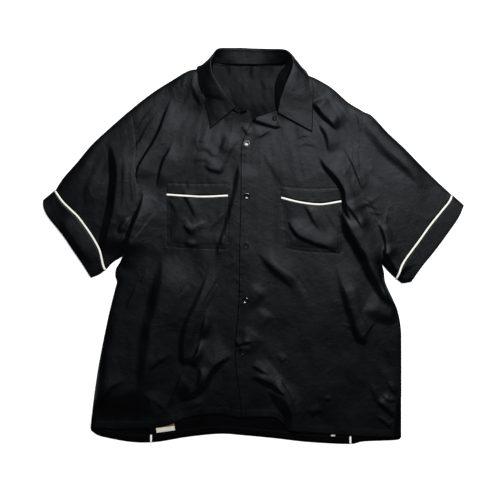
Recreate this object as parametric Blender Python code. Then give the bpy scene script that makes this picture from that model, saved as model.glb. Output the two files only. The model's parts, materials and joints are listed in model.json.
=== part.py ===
"""Bowling shirt laid flat on its back, every cut piece a solid of its own.

Millimetres in the tables, metres in the meshes.  x runs to the viewer's
right, y towards the collar, z up from the surface the shirt lies on.
"""
import math

import bpy
import bmesh
import numpy as np
from mathutils import Vector
from mathutils.bvhtree import BVHTree
from mathutils.geometry import delaunay_2d_cdt

MM = 0.001
CLOTH = 1.4            # wall of a cloth piece, measured straight up
GAP = 0.3              # clear space between neighbouring pieces
HALF = CLOTH / 2
STEP_UP = CLOTH + GAP + 0.05   # from one layer's middle to the next
BEND = 1.1             # middle of a pressed fold above the under layer
LOFT = 3.6             # how far the upper layer stands off the under layer
EASE = 7.0             # how fast it lifts off a pressed edge
PIPE = 4.6             # width of a piping strip
NECK_LIFT = 2.6        # under layer raised over the collar's fall
UPPER_PITCH = 19.0     # facet size of the upper layer
UNDER_PITCH = 46.0     # facet size of the flat under layer
BESIDE = 9.0           # first row of points beside a pressed fold
BUTTON_R = 5.8
BUTTON_H = 2.4

# ---- edges of the cut pieces: name, rows of (x, y) -------------------------
EDGES = {
    # pressed folds that make the outline
    "shoulder_left": ((-79, 356), (-95, 350), (-110, 345), (-128, 341),
                      (-159, 323), (-190, 304), (-221, 281), (-239, 266)),
    "shoulder_right": ((65, 354), (87, 344), (106, 333), (122, 326),
                       (153, 308), (184, 281), (215, 262)),
    "sleeve_top_left": ((-239, 266), (-249, 258), (-284, 227), (-315, 198),
                        (-346, 161), (-370, 134), (-387, 111)),
    "sleeve_top_right": ((215, 262), (231, 254), (262, 221), (293, 192),
                         (325, 159), (356, 128), (387, 102)),
    "sleeve_under_left": ((-255, -19), (-274, -31), (-287, -45)),
    "sleeve_under_right": ((250, -34), (262, -48), (276, -62)),
    # seams
    "side_left": ((-255, -19), (-261, -32), (-268, -44), (-269, -58),
                  (-266, -69), (-270, -85), (-284, -143), (-303, -241),
                  (-316, -338), (-317, -358)),
    "side_right": ((250, -34), (254, -50), (257, -71), (272, -104),
                   (281, -126), (287, -159), (288, -202), (288, -371)),
    "armhole_left": ((-239, 266), (-233, 237), (-229, 198), (-230, 159),
                     (-225, 126), (-221, 104), (-227, 79), (-239, 48),
                     (-247, 13), (-255, -19)),
    "armhole_right": ((215, 262), (210, 227), (206, 198), (207, 159),
                      (215, 110), (227, 81), (243, 54), (254, 20),
                      (254, -11), (250, -34)),
    "yoke_front_left": ((-77, 340), (-114, 329), (-159, 307), (-202, 282),
                        (-237, 256)),
    "yoke_front_right": ((54, 340), (91, 327), (116, 316), (145, 303),
                         (178, 276), (213, 251)),
    "yoke_back": ((-232, 230), (210, 230)),
    # necklines, laps and hems
    "neck_back": ((-79, 356), (-56, 353), (1, 352), (46, 353), (65, 354)),
    "neck_left": ((-79, 356), (-77, 334), (-66, 309), (-52, 286),
                  (-40, 270), (-24, 260), (-8, 267)),
    "neck_right": ((65, 354), (50, 336), (42, 313), (42, 286), (46, 264),
                   (32, 260), (17, 255), (1, 248), (-13, 225)),
    "lap_left": ((-8, 267), (-2, 243), (1, 198), (0, 13), (-3, -104),
                 (-9, -192), (-5, -260), (1, -335)),
    "lap_right": ((-13, 225), (-20, 208), (-24, 184), (-25, 91), (-27, 13),
                  (-29, -104), (-35, -182), (-34, -241), (-28, -284),
                  (-23, -332)),
    "hem_left": ((-316, -354), (-251, -355), (-192, -352), (-163, -347),
                 (-134, -335), (-108, -329), (-65, -326), (-34, -332),
                 (1, -335)),
    "hem_right": ((-23, -332), (17, -332), (42, -333), (59, -346),
                  (79, -359), (149, -365), (217, -370), (274, -371)),
    "vent_right": ((288, -292), (278, -307), (274, -371)),
    "hem_back": ((-317, -358), (-305, -367), (-284, -373), (-237, -381),
                 (-190, -381), (-128, -371), (-65, -365), (-19, -368),
                 (44, -374), (106, -381), (186, -385), (215, -380),
                 (278, -377), (288, -371)),
    # piping and cuffs
    "pipe_left": ((-387, 109), (-372, 88), (-355, 71), (-340, 56),
                  (-317, 24), (-301, -4), (-296, -22), (-293, -36),
                  (-289, -46)),
    "pipe_right": ((387, 100), (381, 87), (368, 71), (343, 40), (321, 9),
                   (298, -22), (288, -38), (283, -52), (278, -63)),
    "cuff_top_left": ((-391, 108), (-410, 90)),
    "cuff_top_right": ((391, 98), (410, 80)),
    "cuff_left": ((-410, 90), (-409, 76), (-399, 56), (-373, 24),
                  (-352, -7), (-331, -38), (-317, -61)),
    "cuff_right": ((410, 80), (399, 56), (377, 24), (354, -7), (329, -38),
                   (307, -69)),
    "cuff_under_left": ((-317, -61), (-305, -57), (-293, -49)),
    "cuff_under_right": ((307, -69), (297, -73), (283, -66)),
    # pockets
    "pocket_top_left": ((-169, 123), (-112, 121), (-50, 122)),
    "pocket_pipe_left": ((-169, 101), (-124, 98), (-95, 97), (-50, 99)),
    "pocket_foot_left": ((-168, 1), (-120, -3), (-49, -5)),
    "pocket_top_right": ((53, 116), (110, 112), (171, 114)),
    "pocket_pipe_right": ((54, 95), (91, 86), (130, 82), (171, 88)),
    "pocket_foot_right": ((64, -2), (91, -8), (130, -11), (172, -13)),
    # flat labels
    "neck_label": ((-26, 327), (48, 327), (48, 309), (-26, 309)),
    "care_label": ((-192, -327), (-189, -363), (-153, -358), (-157, -323)),
    "size_tag": ((151, -346), (159, -346), (159, -370), (151, -370)),
}

# x of each back piping seam at the yoke and at the hem
BACK_PIPING = {"left": (-182, -200), "right": (176, 189)}

# ---- folds: height, steep width, gentle width, rows of (x, y) --------------
# The steep face looks to the right of the way the rows run.
FOLDS = {
    "chest_left": (7, 12, 34, ((-132, 325), (-163, 286), (-192, 208),
                               (-215, 163))),
    "pocket_corner_left": (4, 10, 26, ((-155, 212), (-176, 159),
                                       (-188, 110))),
    "sleeve_valley_left": (8, 13, 34, ((-280, 208), (-281, 110),
                                       (-290, 52), (-295, 13))),
    "armpit_left": (9, 13, 30, ((-215, 112), (-224, 81), (-240, 48),
                                (-246, 13), (-256, -17))),
    "armpit_ridge_left": (4, 10, 14, ((-173, 100), (-192, 75), (-215, 42),
                                      (-245, 3), (-262, -36))),
    "side_left": (5, 16, 40, ((-182, -26), (-198, -85), (-212, -163),
                              (-228, -270))),
    "long_left": (9, 17, 26, ((-36, 159), (-46, 91), (-61, 32),
                              (-95, -65), (-128, -147), (-143, -202),
                              (-136, -229))),
    "hem_sweep_left": (8, 13, 22, ((-143, -299), (-89, -276), (-69, -235),
                                   (-42, -217))),
    "hem_wedge_left": (6, 15, 26, ((-255, -245), (-293, -299))),
    "side_wave_left": (4, 12, 20, ((-221, -65), (-235, -104),
                                   (-254, -136))),
    "collar_point_right": (8, 12, 24, ((112, 280), (139, 247),
                                       (157, 227))),
    "shoulder_right": (5, 13, 26, ((149, 286), (180, 247), (206, 150))),
    "chest_right": (7, 12, 26, ((130, 173), (149, 139), (171, 116),
                                (180, 83), (188, 52))),
    "long_right": (11, 18, 34, ((165, 92), (178, 32), (194, -3),
                                (215, -42), (243, -85), (270, -142))),
    "armhole_right": (5, 12, 22, ((178, 198), (198, 159), (219, 95))),
    "armpit_right": (6, 12, 20, ((200, 85), (214, 61), (236, 10),
                                 (246, -30))),
    "sleeve_right": (5, 24, 26, ((223, 227), (251, 196), (305, 147),
                                 (331, 116), (344, 67))),
    "pocket_right": (6, 10, 18, ((73, 50), (85, 24), (100, 13),
                                 (139, -1))),
    "centre_right": (6, 13, 18, ((3, -7), (28, -34), (61, -67),
                                 (91, -89))),
    "side_right": (6, 14, 22, ((178, -42), (180, -104), (192, -153),
                               (206, -184))),
    "last_button": (6, 12, 18, ((-3, -253), (32, -272), (71, -292))),
    "hem_right": (9, 13, 20, ((22, -262), (52, -307), (61, -358))),
}

# ---- broad swells of the upper layer ---------------------------------------
# name: x, y, radius along x, radius along y, height
SWELLS = {
    "chest_left": (-110, 180, 95, 90, 1.5),
    "chest_right": (95, 170, 90, 110, 1.6),
    "waist_left": (-150, -90, 90, 120, 1.4),
    "waist_right": (130, -120, 110, 120, 1.6),
    "hem_centre": (30, -280, 120, 70, 1.4),
    "sleeve_left": (-320, 90, 60, 90, 1.4),
    "sleeve_right": (300, 80, 60, 90, 1.4),
}

# ---- collar sections, along its length -------------------------------------
# name: seam (x, y), roll (x, y, z), turn (x, y, z), edge (x, y, z)
COLLAR = (
    ("point_left", (-38, 266), (-36, 269, 13), (-60, 249, 11.5),
     (-84, 229, 9)),
    ("left_1", (-50, 281), (-47, 284, 16), (-68, 269, 13), (-88, 253, 9)),
    ("left_2", (-63, 298), (-59, 302, 17), (-79, 290, 14), (-95, 276, 9)),
    ("left_3", (-72, 316), (-70, 319, 18), (-87, 307, 14.5), (-101, 296, 9)),
    ("left_4", (-77, 332), (-79, 333, 18), (-94, 326, 14), (-107, 317, 9)),
    ("left_5", (-79, 344), (-83, 347, 17.5), (-97, 342, 13), (-110, 335, 9)),
    ("left_6", (-79, 353), (-84, 359, 16.5), (-98, 357, 10.5),
     (-112, 351, 7.5)),
    ("shoulder_left", (-75, 357), (-80, 370, 15.5), (-93, 366, 7),
     (-106, 358, 3)),
    ("back_left_2", (-61, 355), (-71, 380, 14), (-80, 371, 2),
     (-89, 329, 0.8)),
    ("back_left_1", (-36, 354), (-36, 385, 14), (-38, 376, 2),
     (-48, 309, 0.8)),
    ("back_centre", (1, 353), (-1, 385, 14), (-1, 376, 2), (-1, 303, 0.8)),
    ("back_right_1", (32, 354), (32, 384, 14), (34, 374, 2), (46, 309, 0.8)),
    ("back_right_2", (52, 354), (59, 380, 14.5), (69, 370, 2),
     (89, 325, 0.8)),
    ("shoulder_right", (62, 356), (72, 373, 15.5), (87, 360, 7),
     (106, 343, 3)),
    ("right_6", (62, 350), (76, 364, 16.5), (93, 352, 10.5),
     (114, 335, 7.5)),
    ("right_5", (54, 342), (78, 352, 17.5), (97, 338, 13.5), (116, 321, 9)),
    ("right_4", (47, 331), (74, 337, 18), (95, 323, 14), (116, 305, 9)),
    ("right_3", (43, 317), (67, 319, 18), (91, 305, 14), (116, 288, 9)),
    ("right_2", (42, 301), (60, 301, 17.5), (87, 288, 13.5), (115, 270, 9)),
    ("right_1", (42, 284), (54, 284, 16), (83, 268, 12.5), (115, 247, 9)),
    ("point_right", (46, 265), (49, 258, 14), (79, 242, 12), (114, 223, 9)),
)
COLLAR_WALL = 1.6

# ---- buttons: name, x, y, radius -------------------------------------------
BUTTONS = (
    ("button_1", -13, 200, BUTTON_R),
    ("button_2", -13, 98, BUTTON_R),
    ("button_3", -14, 1, BUTTON_R),
    ("button_4", -15, -105, BUTTON_R),
    ("button_5", -20, -206, BUTTON_R),
    ("neck_button", 41, 249, 4.6),
)

COLOURS = {
    "cloth": (0.012, 0.013, 0.015, 1.0),
    "cream": (0.85, 0.83, 0.76, 1.0),
    "gloss": (0.008, 0.008, 0.009, 1.0),
}


# ---- curves and outlines ---------------------------------------------------
def spline(rows, parts=8):
    """A smooth line through the rows."""
    pts = [np.array(r, float) for r in rows]
    pts = [2 * pts[0] - pts[1]] + pts + [2 * pts[-1] - pts[-2]]
    out = []
    for a, b, c, d in zip(pts, pts[1:], pts[2:], pts[3:]):
        for k in range(parts):
            t = k / parts
            out.append(0.5 * (2 * b + (c - a) * t
                              + (2 * a - 5 * b + 4 * c - d) * t * t
                              + (3 * b - a - 3 * c + d) * t ** 3))
    out.append(pts[-2])
    return np.array(out)


def spaced(line, step):
    """The same line in equal steps, ends kept."""
    line = np.array(line)
    run = np.concatenate([[0], np.cumsum(np.linalg.norm(
        np.diff(line, axis=0), axis=1))])
    count = max(1, round(run[-1] / step))
    at = np.linspace(0, run[-1], count + 1)
    return [tuple(round(float(np.interp(s, run, line[:, k])), 2)
                  for k in range(2)) for s in at]


def cut(points, axis, value):
    """Both parts of a line that crosses value along the axis."""
    for i, (p, q) in enumerate(zip(points, points[1:])):
        if (p[axis] - value) * (q[axis] - value) <= 0 and p[axis] != q[axis]:
            t = (value - p[axis]) / (q[axis] - p[axis])
            hit = tuple(round(a + (b - a) * t, 2) for a, b in zip(p, q))
            before = [r for r in points[:i + 1] if math.dist(r, hit) > 3]
            after = [r for r in points[i + 1:] if math.dist(r, hit) > 3]
            return before + [hit], [hit] + after
    raise ValueError("the line does not cross the value")


def shifted(points, dx, dy):
    return [(round(x + dx, 2), round(y + dy, 2)) for x, y in points]


def outline(*lines):
    """One closed outline, anticlockwise, from lines that follow on."""
    ring = []
    for line in lines:
        for p in line:
            if not ring or math.dist(ring[-1], p) > 0.2:
                ring.append(p)
    if math.dist(ring[0], ring[-1]) < 0.2:
        ring.pop()
    area = sum(a[0] * b[1] - b[0] * a[1]
               for a, b in zip(ring, ring[1:] + ring[:1]))
    return ring if area > 0 else ring[::-1]


def distance(points, line):
    """Plan distance to a line, with the side and the run along it."""
    line = np.array(line, float)
    best = np.full(len(points), 1e9)
    side = np.zeros(len(points))
    run = np.zeros(len(points))
    start = 0.0
    for a, b in zip(line, line[1:]):
        d = b - a
        size = math.hypot(*d)
        t = np.clip(((points - a) @ d) / size ** 2, 0, 1)
        off = points - (a + t[:, None] * d)
        dist = np.hypot(off[:, 0], off[:, 1])
        near = dist < best
        best = np.where(near, dist, best)
        side = np.where(near, d[0] * off[:, 1] - d[1] * off[:, 0], side)
        run = np.where(near, start + t * size, run)
        start += size
    return best, np.sign(side), run / start


# ---- heights of the two layers ---------------------------------------------
def smooth(t):
    t = np.clip(t, 0, 1)
    return t * t * (3 - 2 * t)


def under_height(points):
    """Middle of the under layer: flat, raised over the collar's fall."""
    r = np.hypot((points[:, 0] - 1) / 150, (points[:, 1] - 358) / 95)
    return HALF + NECK_LIFT * smooth((1.35 - r) / 0.55)


def fold_height(points):
    total = np.zeros(len(points))
    for height, steep, gentle, rows in FOLDS.values():
        dist, side, run = distance(points, spline(rows, 4))
        across = dist * side - 0.8 * steep
        width = np.where(across > 0, gentle, steep)
        fade = smooth(run / 0.22) * smooth((1 - run) / 0.22)
        total += height * fade * np.exp(-(across / width) ** 2)
    for x, y, rx, ry, height in SWELLS.values():
        r = ((points[:, 0] - x) / rx) ** 2 + ((points[:, 1] - y) / ry) ** 2
        total += height * np.exp(-r)
    return total


def upper_height(points, edge):
    """Middle of the upper layer, pressed down to edge along the outline."""
    near = np.full(len(points), 1e9)
    for name in PRESSED:
        near = np.minimum(near, distance(points, line[name])[0])
    lift = 1 - np.exp(-near / EASE)
    return (under_height(points) + edge
            + (LOFT + fold_height(points) - edge) * lift)


# ---- one shared triangulation for each layer -------------------------------
def triangulate(outlines, pitch, lines=(), beside=()):
    """Plan triangles, each with the names of the outlines it lies in.

    lines: more points along folds; beside: points close along bends.
    """
    index, verts, faces = {}, [], []
    for ring in outlines.values():
        face = []
        for p in ring:
            if p not in index:
                index[p] = len(verts)
                verts.append(p)
            face.append(index[p])
        faces.append(face)
    fixed = np.array(verts)
    rows = [p for seed in lines for p in spaced(seed, pitch * 0.8)]
    low, high = fixed.min(0), fixed.max(0)
    n = int((high[1] - low[1]) / (pitch * 0.866)) + 2
    m = int((high[0] - low[0]) / pitch) + 2
    grid = [(low[0] + (i + 0.5 * (j % 2)) * pitch, low[1] + j * pitch * 0.866)
            for j in range(n) for i in range(m)]
    for seeds, off, clear in ((beside, BESIDE * 0.8, 9.0),
                              (rows, pitch * 0.4, pitch * 0.58),
                              (grid, pitch * 0.4, pitch * 0.8)):
        seeds = np.array(seeds).reshape(-1, 2)
        keep = np.ones(len(seeds), bool)
        for ring in outlines.values():
            keep &= distance(seeds, ring + ring[:1])[0] > off
        for p in seeds[keep]:
            if all(abs(p[0] - q[0]) + abs(p[1] - q[1]) > clear
                   for q in verts[len(fixed):]):
                verts.append((float(p[0]), float(p[1])))
    out = delaunay_2d_cdt([Vector(v) for v in verts], [], faces, 0, 1e-4,
                          True)
    points = np.array([verts[ids[0]] if ids else tuple(v)
                       for v, ids in zip(out[0], out[3])])
    names = list(outlines)
    tris = [(tuple(f), {names[k] for k in ids})
            for f, ids in zip(out[2], out[5])]
    return points, tris


# ---- solids ----------------------------------------------------------------
parts = bpy.data.collections.new("bowling_shirt")


def add_solid(name, verts, faces, colour):
    mesh = bpy.data.meshes.new(name)
    mesh.from_pydata([tuple(c * MM for c in v) for v in verts], [], faces)
    bm = bmesh.new()
    bm.from_mesh(mesh)
    bmesh.ops.recalc_face_normals(bm, faces=bm.faces)
    if bm.calc_volume(signed=True) < 0:
        bmesh.ops.reverse_faces(bm, faces=bm.faces)
    bm.to_mesh(mesh)
    bm.free()
    material = bpy.data.materials.new(name)
    material.use_nodes = True
    shader = material.node_tree.nodes["Principled BSDF"]
    shader.inputs["Base Color"].default_value = COLOURS[colour]
    shader.inputs["Roughness"].default_value = 0.2 if colour == "gloss" else 0.6
    mesh.materials.append(material)
    solid = bpy.data.objects.new(name, mesh)
    parts.objects.link(solid)
    return solid


def cloth(name, layers, up=HALF, down=HALF, bend=(), colour="cloth",
          raised=None):
    """Thicken one or two layers of triangles, joined along bend points.

    layers: (points, triangles, heights, facing), facing 1 upper, -1 under.
    raised: plan points whose outer face stands higher, and by how much.
    """
    bend = set(bend)
    index, pos, aim, sheets = {}, [], [], []
    for points, tris, heights, facing in layers:
        local = {}
        for i in sorted({i for t in tris for i in t}):
            x, y = points[i]
            at = (round(float(x), 2), round(float(y), 2))
            key = at if at in bend else (at, facing)
            if key not in index:
                index[key] = len(pos)
                z = heights[i]
                if key is at:
                    z = float(under_height(np.array([[x, y]]))[0]) + BEND
                pos.append(Vector((x, y, z)))
                aim.append(None if key is at else facing)
            local[i] = index[key]
        for t in tris:
            t = tuple(local[i] for i in t)
            sheets.append(t if facing > 0 else t[::-1])
    used = {}
    for t in sheets:
        for a, b in zip(t, t[1:] + t[:1]):
            used.setdefault(frozenset((a, b)), []).append((t, a, b))
    push = [[] for _ in pos]
    out = [Vector((0, 0)) for _ in pos]
    rim = []
    for pair, uses in used.items():
        a, b = tuple(pair)
        side = (pos[b] - pos[a]).xy.orthogonal().normalized()
        third = next(k for k in uses[0][0] if k not in pair)
        if side.dot((pos[third] - pos[a]).xy) < 0:
            side = -side
        if len(uses) == 1:
            push[a].append(side)
            push[b].append(side)
            rim.append(uses[0][1:])
        elif aim[a] is None and aim[b] is None:
            out[a] -= side
            out[b] -= side
    around = {}
    for t in sheets:
        for k in t:
            around.setdefault(k, []).append(t)
    moved = [p.copy() for p in pos]
    for k, sides in enumerate(push):
        if not sides:
            continue
        way = sum(sides, Vector((0, 0))).normalized()
        way *= GAP / 2 / max(0.4, min(way.dot(s) for s in sides))
        if aim[k] is None:          # the bend's own wall turns this corner
            way = way.normalized() * (GAP / 2 + HALF)
        spot = pos[k].xy + way
        best = None
        for t in around[k]:
            p, q, r = (pos[i] for i in t)
            u, v, w = (q - p).xy, (r - p).xy, spot - p.xy
            area = u.x * v.y - u.y * v.x
            s = (w.x * v.y - w.y * v.x) / area
            e = (u.x * w.y - u.y * w.x) / area
            miss = -min(s, e, 1 - s - e)
            if best is None or miss < best[0]:
                best = (miss, p.z + s * (q.z - p.z) + e * (r.z - p.z))
        moved[k] = Vector((spot.x, spot.y, best[1]))
    verts = []
    for sign in (1, -1):
        for k, p in enumerate(moved):
            amount = up if sign > 0 else -down
            if raised and sign > 0 and aim[k] == 1 and (
                    round(pos[k].x, 2), round(pos[k].y, 2)) in raised[0]:
                amount += raised[1]
            if aim[k] is None:
                way = out[k].normalized()
                verts.append(p + Vector((way.x, way.y, 0)) * amount)
            else:
                verts.append(p + Vector((0, 0, aim[k] * amount)))
    n = len(pos)
    faces = list(sheets) + [tuple(k + n for k in t[::-1]) for t in sheets]
    for a, b in rim:
        faces += [(b, a, a + n), (b, a + n, b + n)]
    return add_solid(name, verts, faces, colour)


for old in list(bpy.data.objects):
    bpy.data.objects.remove(old)
bpy.context.scene.collection.children.link(parts)

# ---- sampled edges, shared by the pieces that meet along them --------------
FINE = {"neck_back": 13, "neck_left": 12, "neck_right": 12, "hem_right": 14,
        "pipe_left": 14, "pipe_right": 14, "cuff_under_left": 12,
        "cuff_under_right": 12}
STRAIGHT = ("neck_label", "care_label", "size_tag", "yoke_back",
            "cuff_top_left", "cuff_top_right")
PRESSED = ("shoulder_left", "shoulder_right", "sleeve_top_left",
           "sleeve_top_right", "sleeve_under_left", "sleeve_under_right",
           "side_left", "side_right", "cuff_top_left", "cuff_top_right",
           "cuff_under_left", "cuff_under_right")
line = {name: spaced(rows if name in STRAIGHT else spline(rows),
                     FINE.get(name, UPPER_PITCH))
        for name, rows in EDGES.items()}

upper, under = {}, {}
bends = {name: set() for name in ("yoke", "sleeve_left", "sleeve_right",
                                  "sleeve_piping_left",
                                  "sleeve_piping_right", "cuff_left",
                                  "cuff_right")}
raised_rows = {}
spine = []

for side, sign in (("left", -1), ("right", 1)):
    # sleeve, its piping and its cuff
    pipe = line["pipe_" + side]
    dx, dy = sign * 0.84 * PIPE / 2, -0.54 * PIPE / 2
    inner, outer = shifted(pipe, -dx, -dy), shifted(pipe, dx, dy)
    top = line["sleeve_top_" + side][:-1] + [inner[0]]
    foot = line["sleeve_under_" + side][:-1] + [inner[-1]]
    ring = outline(top, inner, foot[::-1], line["armhole_" + side][::-1])
    upper["sleeve_" + side] = under["sleeve_" + side] = ring
    bends["sleeve_" + side] = set(top + foot)
    strip = outline([pipe[0]] + inner, [pipe[-1]] + outer[::-1])
    upper["sleeve_piping_" + side] = under["sleeve_piping_" + side] = strip
    bends["sleeve_piping_" + side] = set(
        [inner[0], pipe[0], outer[0], inner[-1], pipe[-1], outer[-1]])
    raised_rows["sleeve_piping_" + side] = set(pipe)
    spine += pipe[1:-1]
    top = [outer[0]] + line["cuff_top_" + side][1:]
    foot = line["cuff_under_" + side][:-1] + [outer[-1]]
    ring = outline(top, line["cuff_" + side], foot, outer[::-1])
    upper["cuff_" + side] = under["cuff_" + side] = ring
    bends["cuff_" + side] = set(top + foot)
    bends["yoke"] |= set(line["shoulder_" + side])

# fronts and the yoke's front strips
split = {}
for side, level in (("left", 256), ("right", 251)):
    hole = line["armhole_" + side]
    high, low = cut(hole, 1, level)
    mid, low_back = cut(low, 1, 230)
    split[side] = (high, mid, low_back)
    ring = upper["sleeve_" + side]
    seam = line["yoke_front_" + side][:-1] + [high[-1]]
    neck_a, neck_b = cut(line["neck_" + side], 1, seam[0][1])
    seam[0] = neck_a[-1]
    upper["yoke_" + side] = outline(
        line["shoulder_" + side], high, seam[::-1], neck_a[::-1])
    if side == "left":
        edge = line["side_left"]
        hem = line["hem_left"]
        edge, _ = cut(edge, 1, hem[0][1])
        hem = [edge[-1]] + hem[1:]
        upper["front_left"] = outline(
            seam[::-1], neck_b, line["lap_left"], hem[::-1], edge[::-1],
            (mid + low_back[1:])[::-1])
    else:
        edge, _ = cut(line["side_right"], 1, -292)
        vent = [edge[-1]] + line["vent_right"][1:]
        upper["front_right"] = outline(
            seam[::-1], neck_b, line["lap_right"], line["hem_right"],
            vent[::-1], edge[::-1], (mid + low_back[1:])[::-1])
# the sleeves take the same armhole points
for side in ("left", "right"):
    high, mid, low = split[side]
    whole = high + mid[1:] + low[1:]
    pipe = line["pipe_" + side]
    sign = -1 if side == "left" else 1
    inner = shifted(pipe, -sign * 0.84 * PIPE / 2, 0.54 * PIPE / 2)
    top = line["sleeve_top_" + side][:-1] + [inner[0]]
    foot = line["sleeve_under_" + side][:-1] + [inner[-1]]
    ring = outline(top, inner, foot[::-1], whole[::-1])
    upper["sleeve_" + side] = under["sleeve_" + side] = ring

# pockets: band, piping strip and body, on the fronts
for side in ("left", "right"):
    top = line["pocket_top_" + side]
    mid = line["pocket_pipe_" + side]
    foot = line["pocket_foot_" + side]
    above, below = shifted(mid, 0, PIPE / 2), shifted(mid, 0, -PIPE / 2)
    upper["pocket_band_" + side] = outline(top, above[::-1])
    upper["pocket_piping_" + side] = outline(
        [mid[0]] + above, [mid[-1]] + below[::-1])
    upper["pocket_" + side] = outline(below, foot[::-1])
    raised_rows["pocket_piping_" + side] = set(mid)
    spine += mid[1:-1]

# the back: yoke, three panels and two piping strips
hem = line["hem_back"]
seams = {}
for side, (x_top, x_foot) in BACK_PIPING.items():
    for k in (-1, 1):
        dx = k * PIPE / 2
        foot = cut(hem, 0, x_foot + dx)[0][-1]
        seams[side, k] = spaced([(x_top + dx, 230.0), foot], UNDER_PITCH)
hem_a, rest = cut(hem, 0, BACK_PIPING["left"][1] - PIPE / 2)
_, rest = cut(rest, 0, BACK_PIPING["left"][1] + PIPE / 2)
hem_b, rest = cut(rest, 0, BACK_PIPING["right"][1] - PIPE / 2)
_, hem_c = cut(rest, 0, BACK_PIPING["right"][1] + PIPE / 2)
al, ar = split["left"], split["right"]
seam = ([al[2][0]] + [seams["left", -1][0], seams["left", 1][0]]
        + spaced([seams["left", 1][0], seams["right", -1][0]], UNDER_PITCH)
        + [seams["right", 1][0], ar[2][0]])
under["yoke_under"] = outline(
    line["shoulder_left"], al[0], al[1], seam, (ar[0] + ar[1][1:])[::-1],
    line["shoulder_right"][::-1], line["neck_back"][::-1])
under["back_side_left"] = outline(
    [al[2][0]], al[2], line["side_left"], hem_a, seams["left", -1][::-1])
under["back_piping_left"] = outline(seams["left", -1],
                                    seams["left", 1][::-1])
under["back_centre"] = outline(
    seams["left", 1], hem_b, seams["right", -1][::-1], seam[2:-2][::-1])
under["back_piping_right"] = outline(seams["right", -1],
                                     seams["right", 1][::-1])
under["back_side_right"] = outline(
    seams["right", 1], hem_c, line["side_right"][::-1], ar[2][::-1])
for name in ("neck_label", "care_label", "size_tag"):
    under[name] = outline(EDGES[name])


def beside(run, off):
    """The same line moved to its left by off."""
    run = np.array(run, float)
    way = np.gradient(run, axis=0)
    way /= np.linalg.norm(way, axis=1)[:, None]
    return run + np.stack([-way[:, 1], way[:, 0]], 1) * off


crests = []
for height, steep, gentle, rows in FOLDS.values():
    run = spline(rows, 4)
    crests += [beside(run, 0.8 * steep), beside(run, -0.7 * steep)]
rails = [p for name in PRESSED for k in (-1, 1)
         for p in beside(line[name], k * BESIDE)]

up_pts, up_tris = triangulate(upper, UPPER_PITCH, crests, rails)
lo_pts, lo_tris = triangulate(under, UNDER_PITCH, (), rails)


def pick(tris, name):
    return [t for t, names in tris if name in names]


fold_z = upper_height(up_pts, BEND)
layer_z = upper_height(up_pts, STEP_UP)
under_z = under_height(lo_pts)

# the upper lap stands one layer higher until it is clear of the under lap
lap_dist, lap_side, _ = distance(up_pts, line["lap_left"])
past = np.where(lap_side > 0, lap_dist, 0)
lap_z = layer_z + STEP_UP * smooth(1 - past / 45)

for side in ("left", "right"):
    for name in ("sleeve", "sleeve_piping", "cuff"):
        name = name + "_" + side
        piping = "piping" in name
        cloth(name,
              [(up_pts, pick(up_tris, name), fold_z, 1),
               (lo_pts, pick(lo_tris, name), under_z, -1)],
              bend=bends[name], colour="cream" if piping else "cloth",
              raised=(raised_rows[name], 1.4) if piping else None)
cloth("yoke",
      [(up_pts, pick(up_tris, "yoke_left"), fold_z, 1),
       (up_pts, pick(up_tris, "yoke_right"), fold_z, 1),
       (lo_pts, pick(lo_tris, "yoke_under"), under_z, -1)],
      bend=bends["yoke"])
cloth("front_left", [(up_pts, pick(up_tris, "front_left"), layer_z, 1)])
cloth("front_right", [(up_pts, pick(up_tris, "front_right"), lap_z, 1)])
for name in ("back_centre", "back_side_left", "back_side_right"):
    cloth(name, [(lo_pts, pick(lo_tris, name), under_z, 1)])
for name in ("back_piping_left", "back_piping_right"):
    cloth(name, [(lo_pts, pick(lo_tris, name), under_z, 1)], up=HALF + 0.8,
          colour="cream")
for side in ("left", "right"):
    front = layer_z if side == "left" else lap_z
    for name in ("pocket", "pocket_band"):
        name = name + "_" + side
        cloth(name, [(up_pts, pick(up_tris, name), front + STEP_UP, 1)])
    name = "pocket_piping_" + side
    cloth(name, [(up_pts, pick(up_tris, name), front + STEP_UP, 1)],
          up=HALF + 0.3, colour="cream",
          raised=(raised_rows[name], 1.2))
for name, colour in (("neck_label", "cloth"), ("care_label", "cream"),
                     ("size_tag", "cream")):
    cloth(name, [(lo_pts, pick(lo_tris, name),
                  under_z + HALF + GAP + 0.5, 1)],
          up=0.5, down=0.5, colour=colour)



# ---- the collar: a turned band, section by section -------------------------
def tops(*names):
    """Search trees of finished pieces, for resting others on them."""
    trees = []
    for name in names:
        mesh = bpy.data.objects[name].data
        trees.append(BVHTree.FromPolygons(
            [v.co / MM for v in mesh.vertices],
            [tuple(p.vertices) for p in mesh.polygons]))
    return trees


def height_at(trees, x, y):
    """The highest face under a plan point, or None."""
    best = None
    for tree in trees:
        hit = tree.ray_cast(Vector((x, y, 200)), Vector((0, 0, -1)))[0]
        if hit is not None and (best is None or hit.z > best):
            best = hit.z
    return best


def section(seam, roll, turn, edge, steps=(3, 4, 4)):
    """A smooth line through the four points of a collar section."""
    pts = [Vector(p) for p in (seam, roll, turn, edge)]
    pts = [2 * pts[0] - pts[1]] + pts + [2 * pts[-1] - pts[-2]]
    out = []
    for (a, b, c, d), n in zip(zip(pts, pts[1:], pts[2:], pts[3:]), steps):
        for k in range(n):
            t = k / n
            out.append(0.5 * (2 * b + (c - a) * t
                              + (2 * a - 5 * b + 4 * c - d) * t * t
                              + (3 * b - a - 3 * c + d) * t ** 3))
    out.append(pts[-2])
    return out


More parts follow.
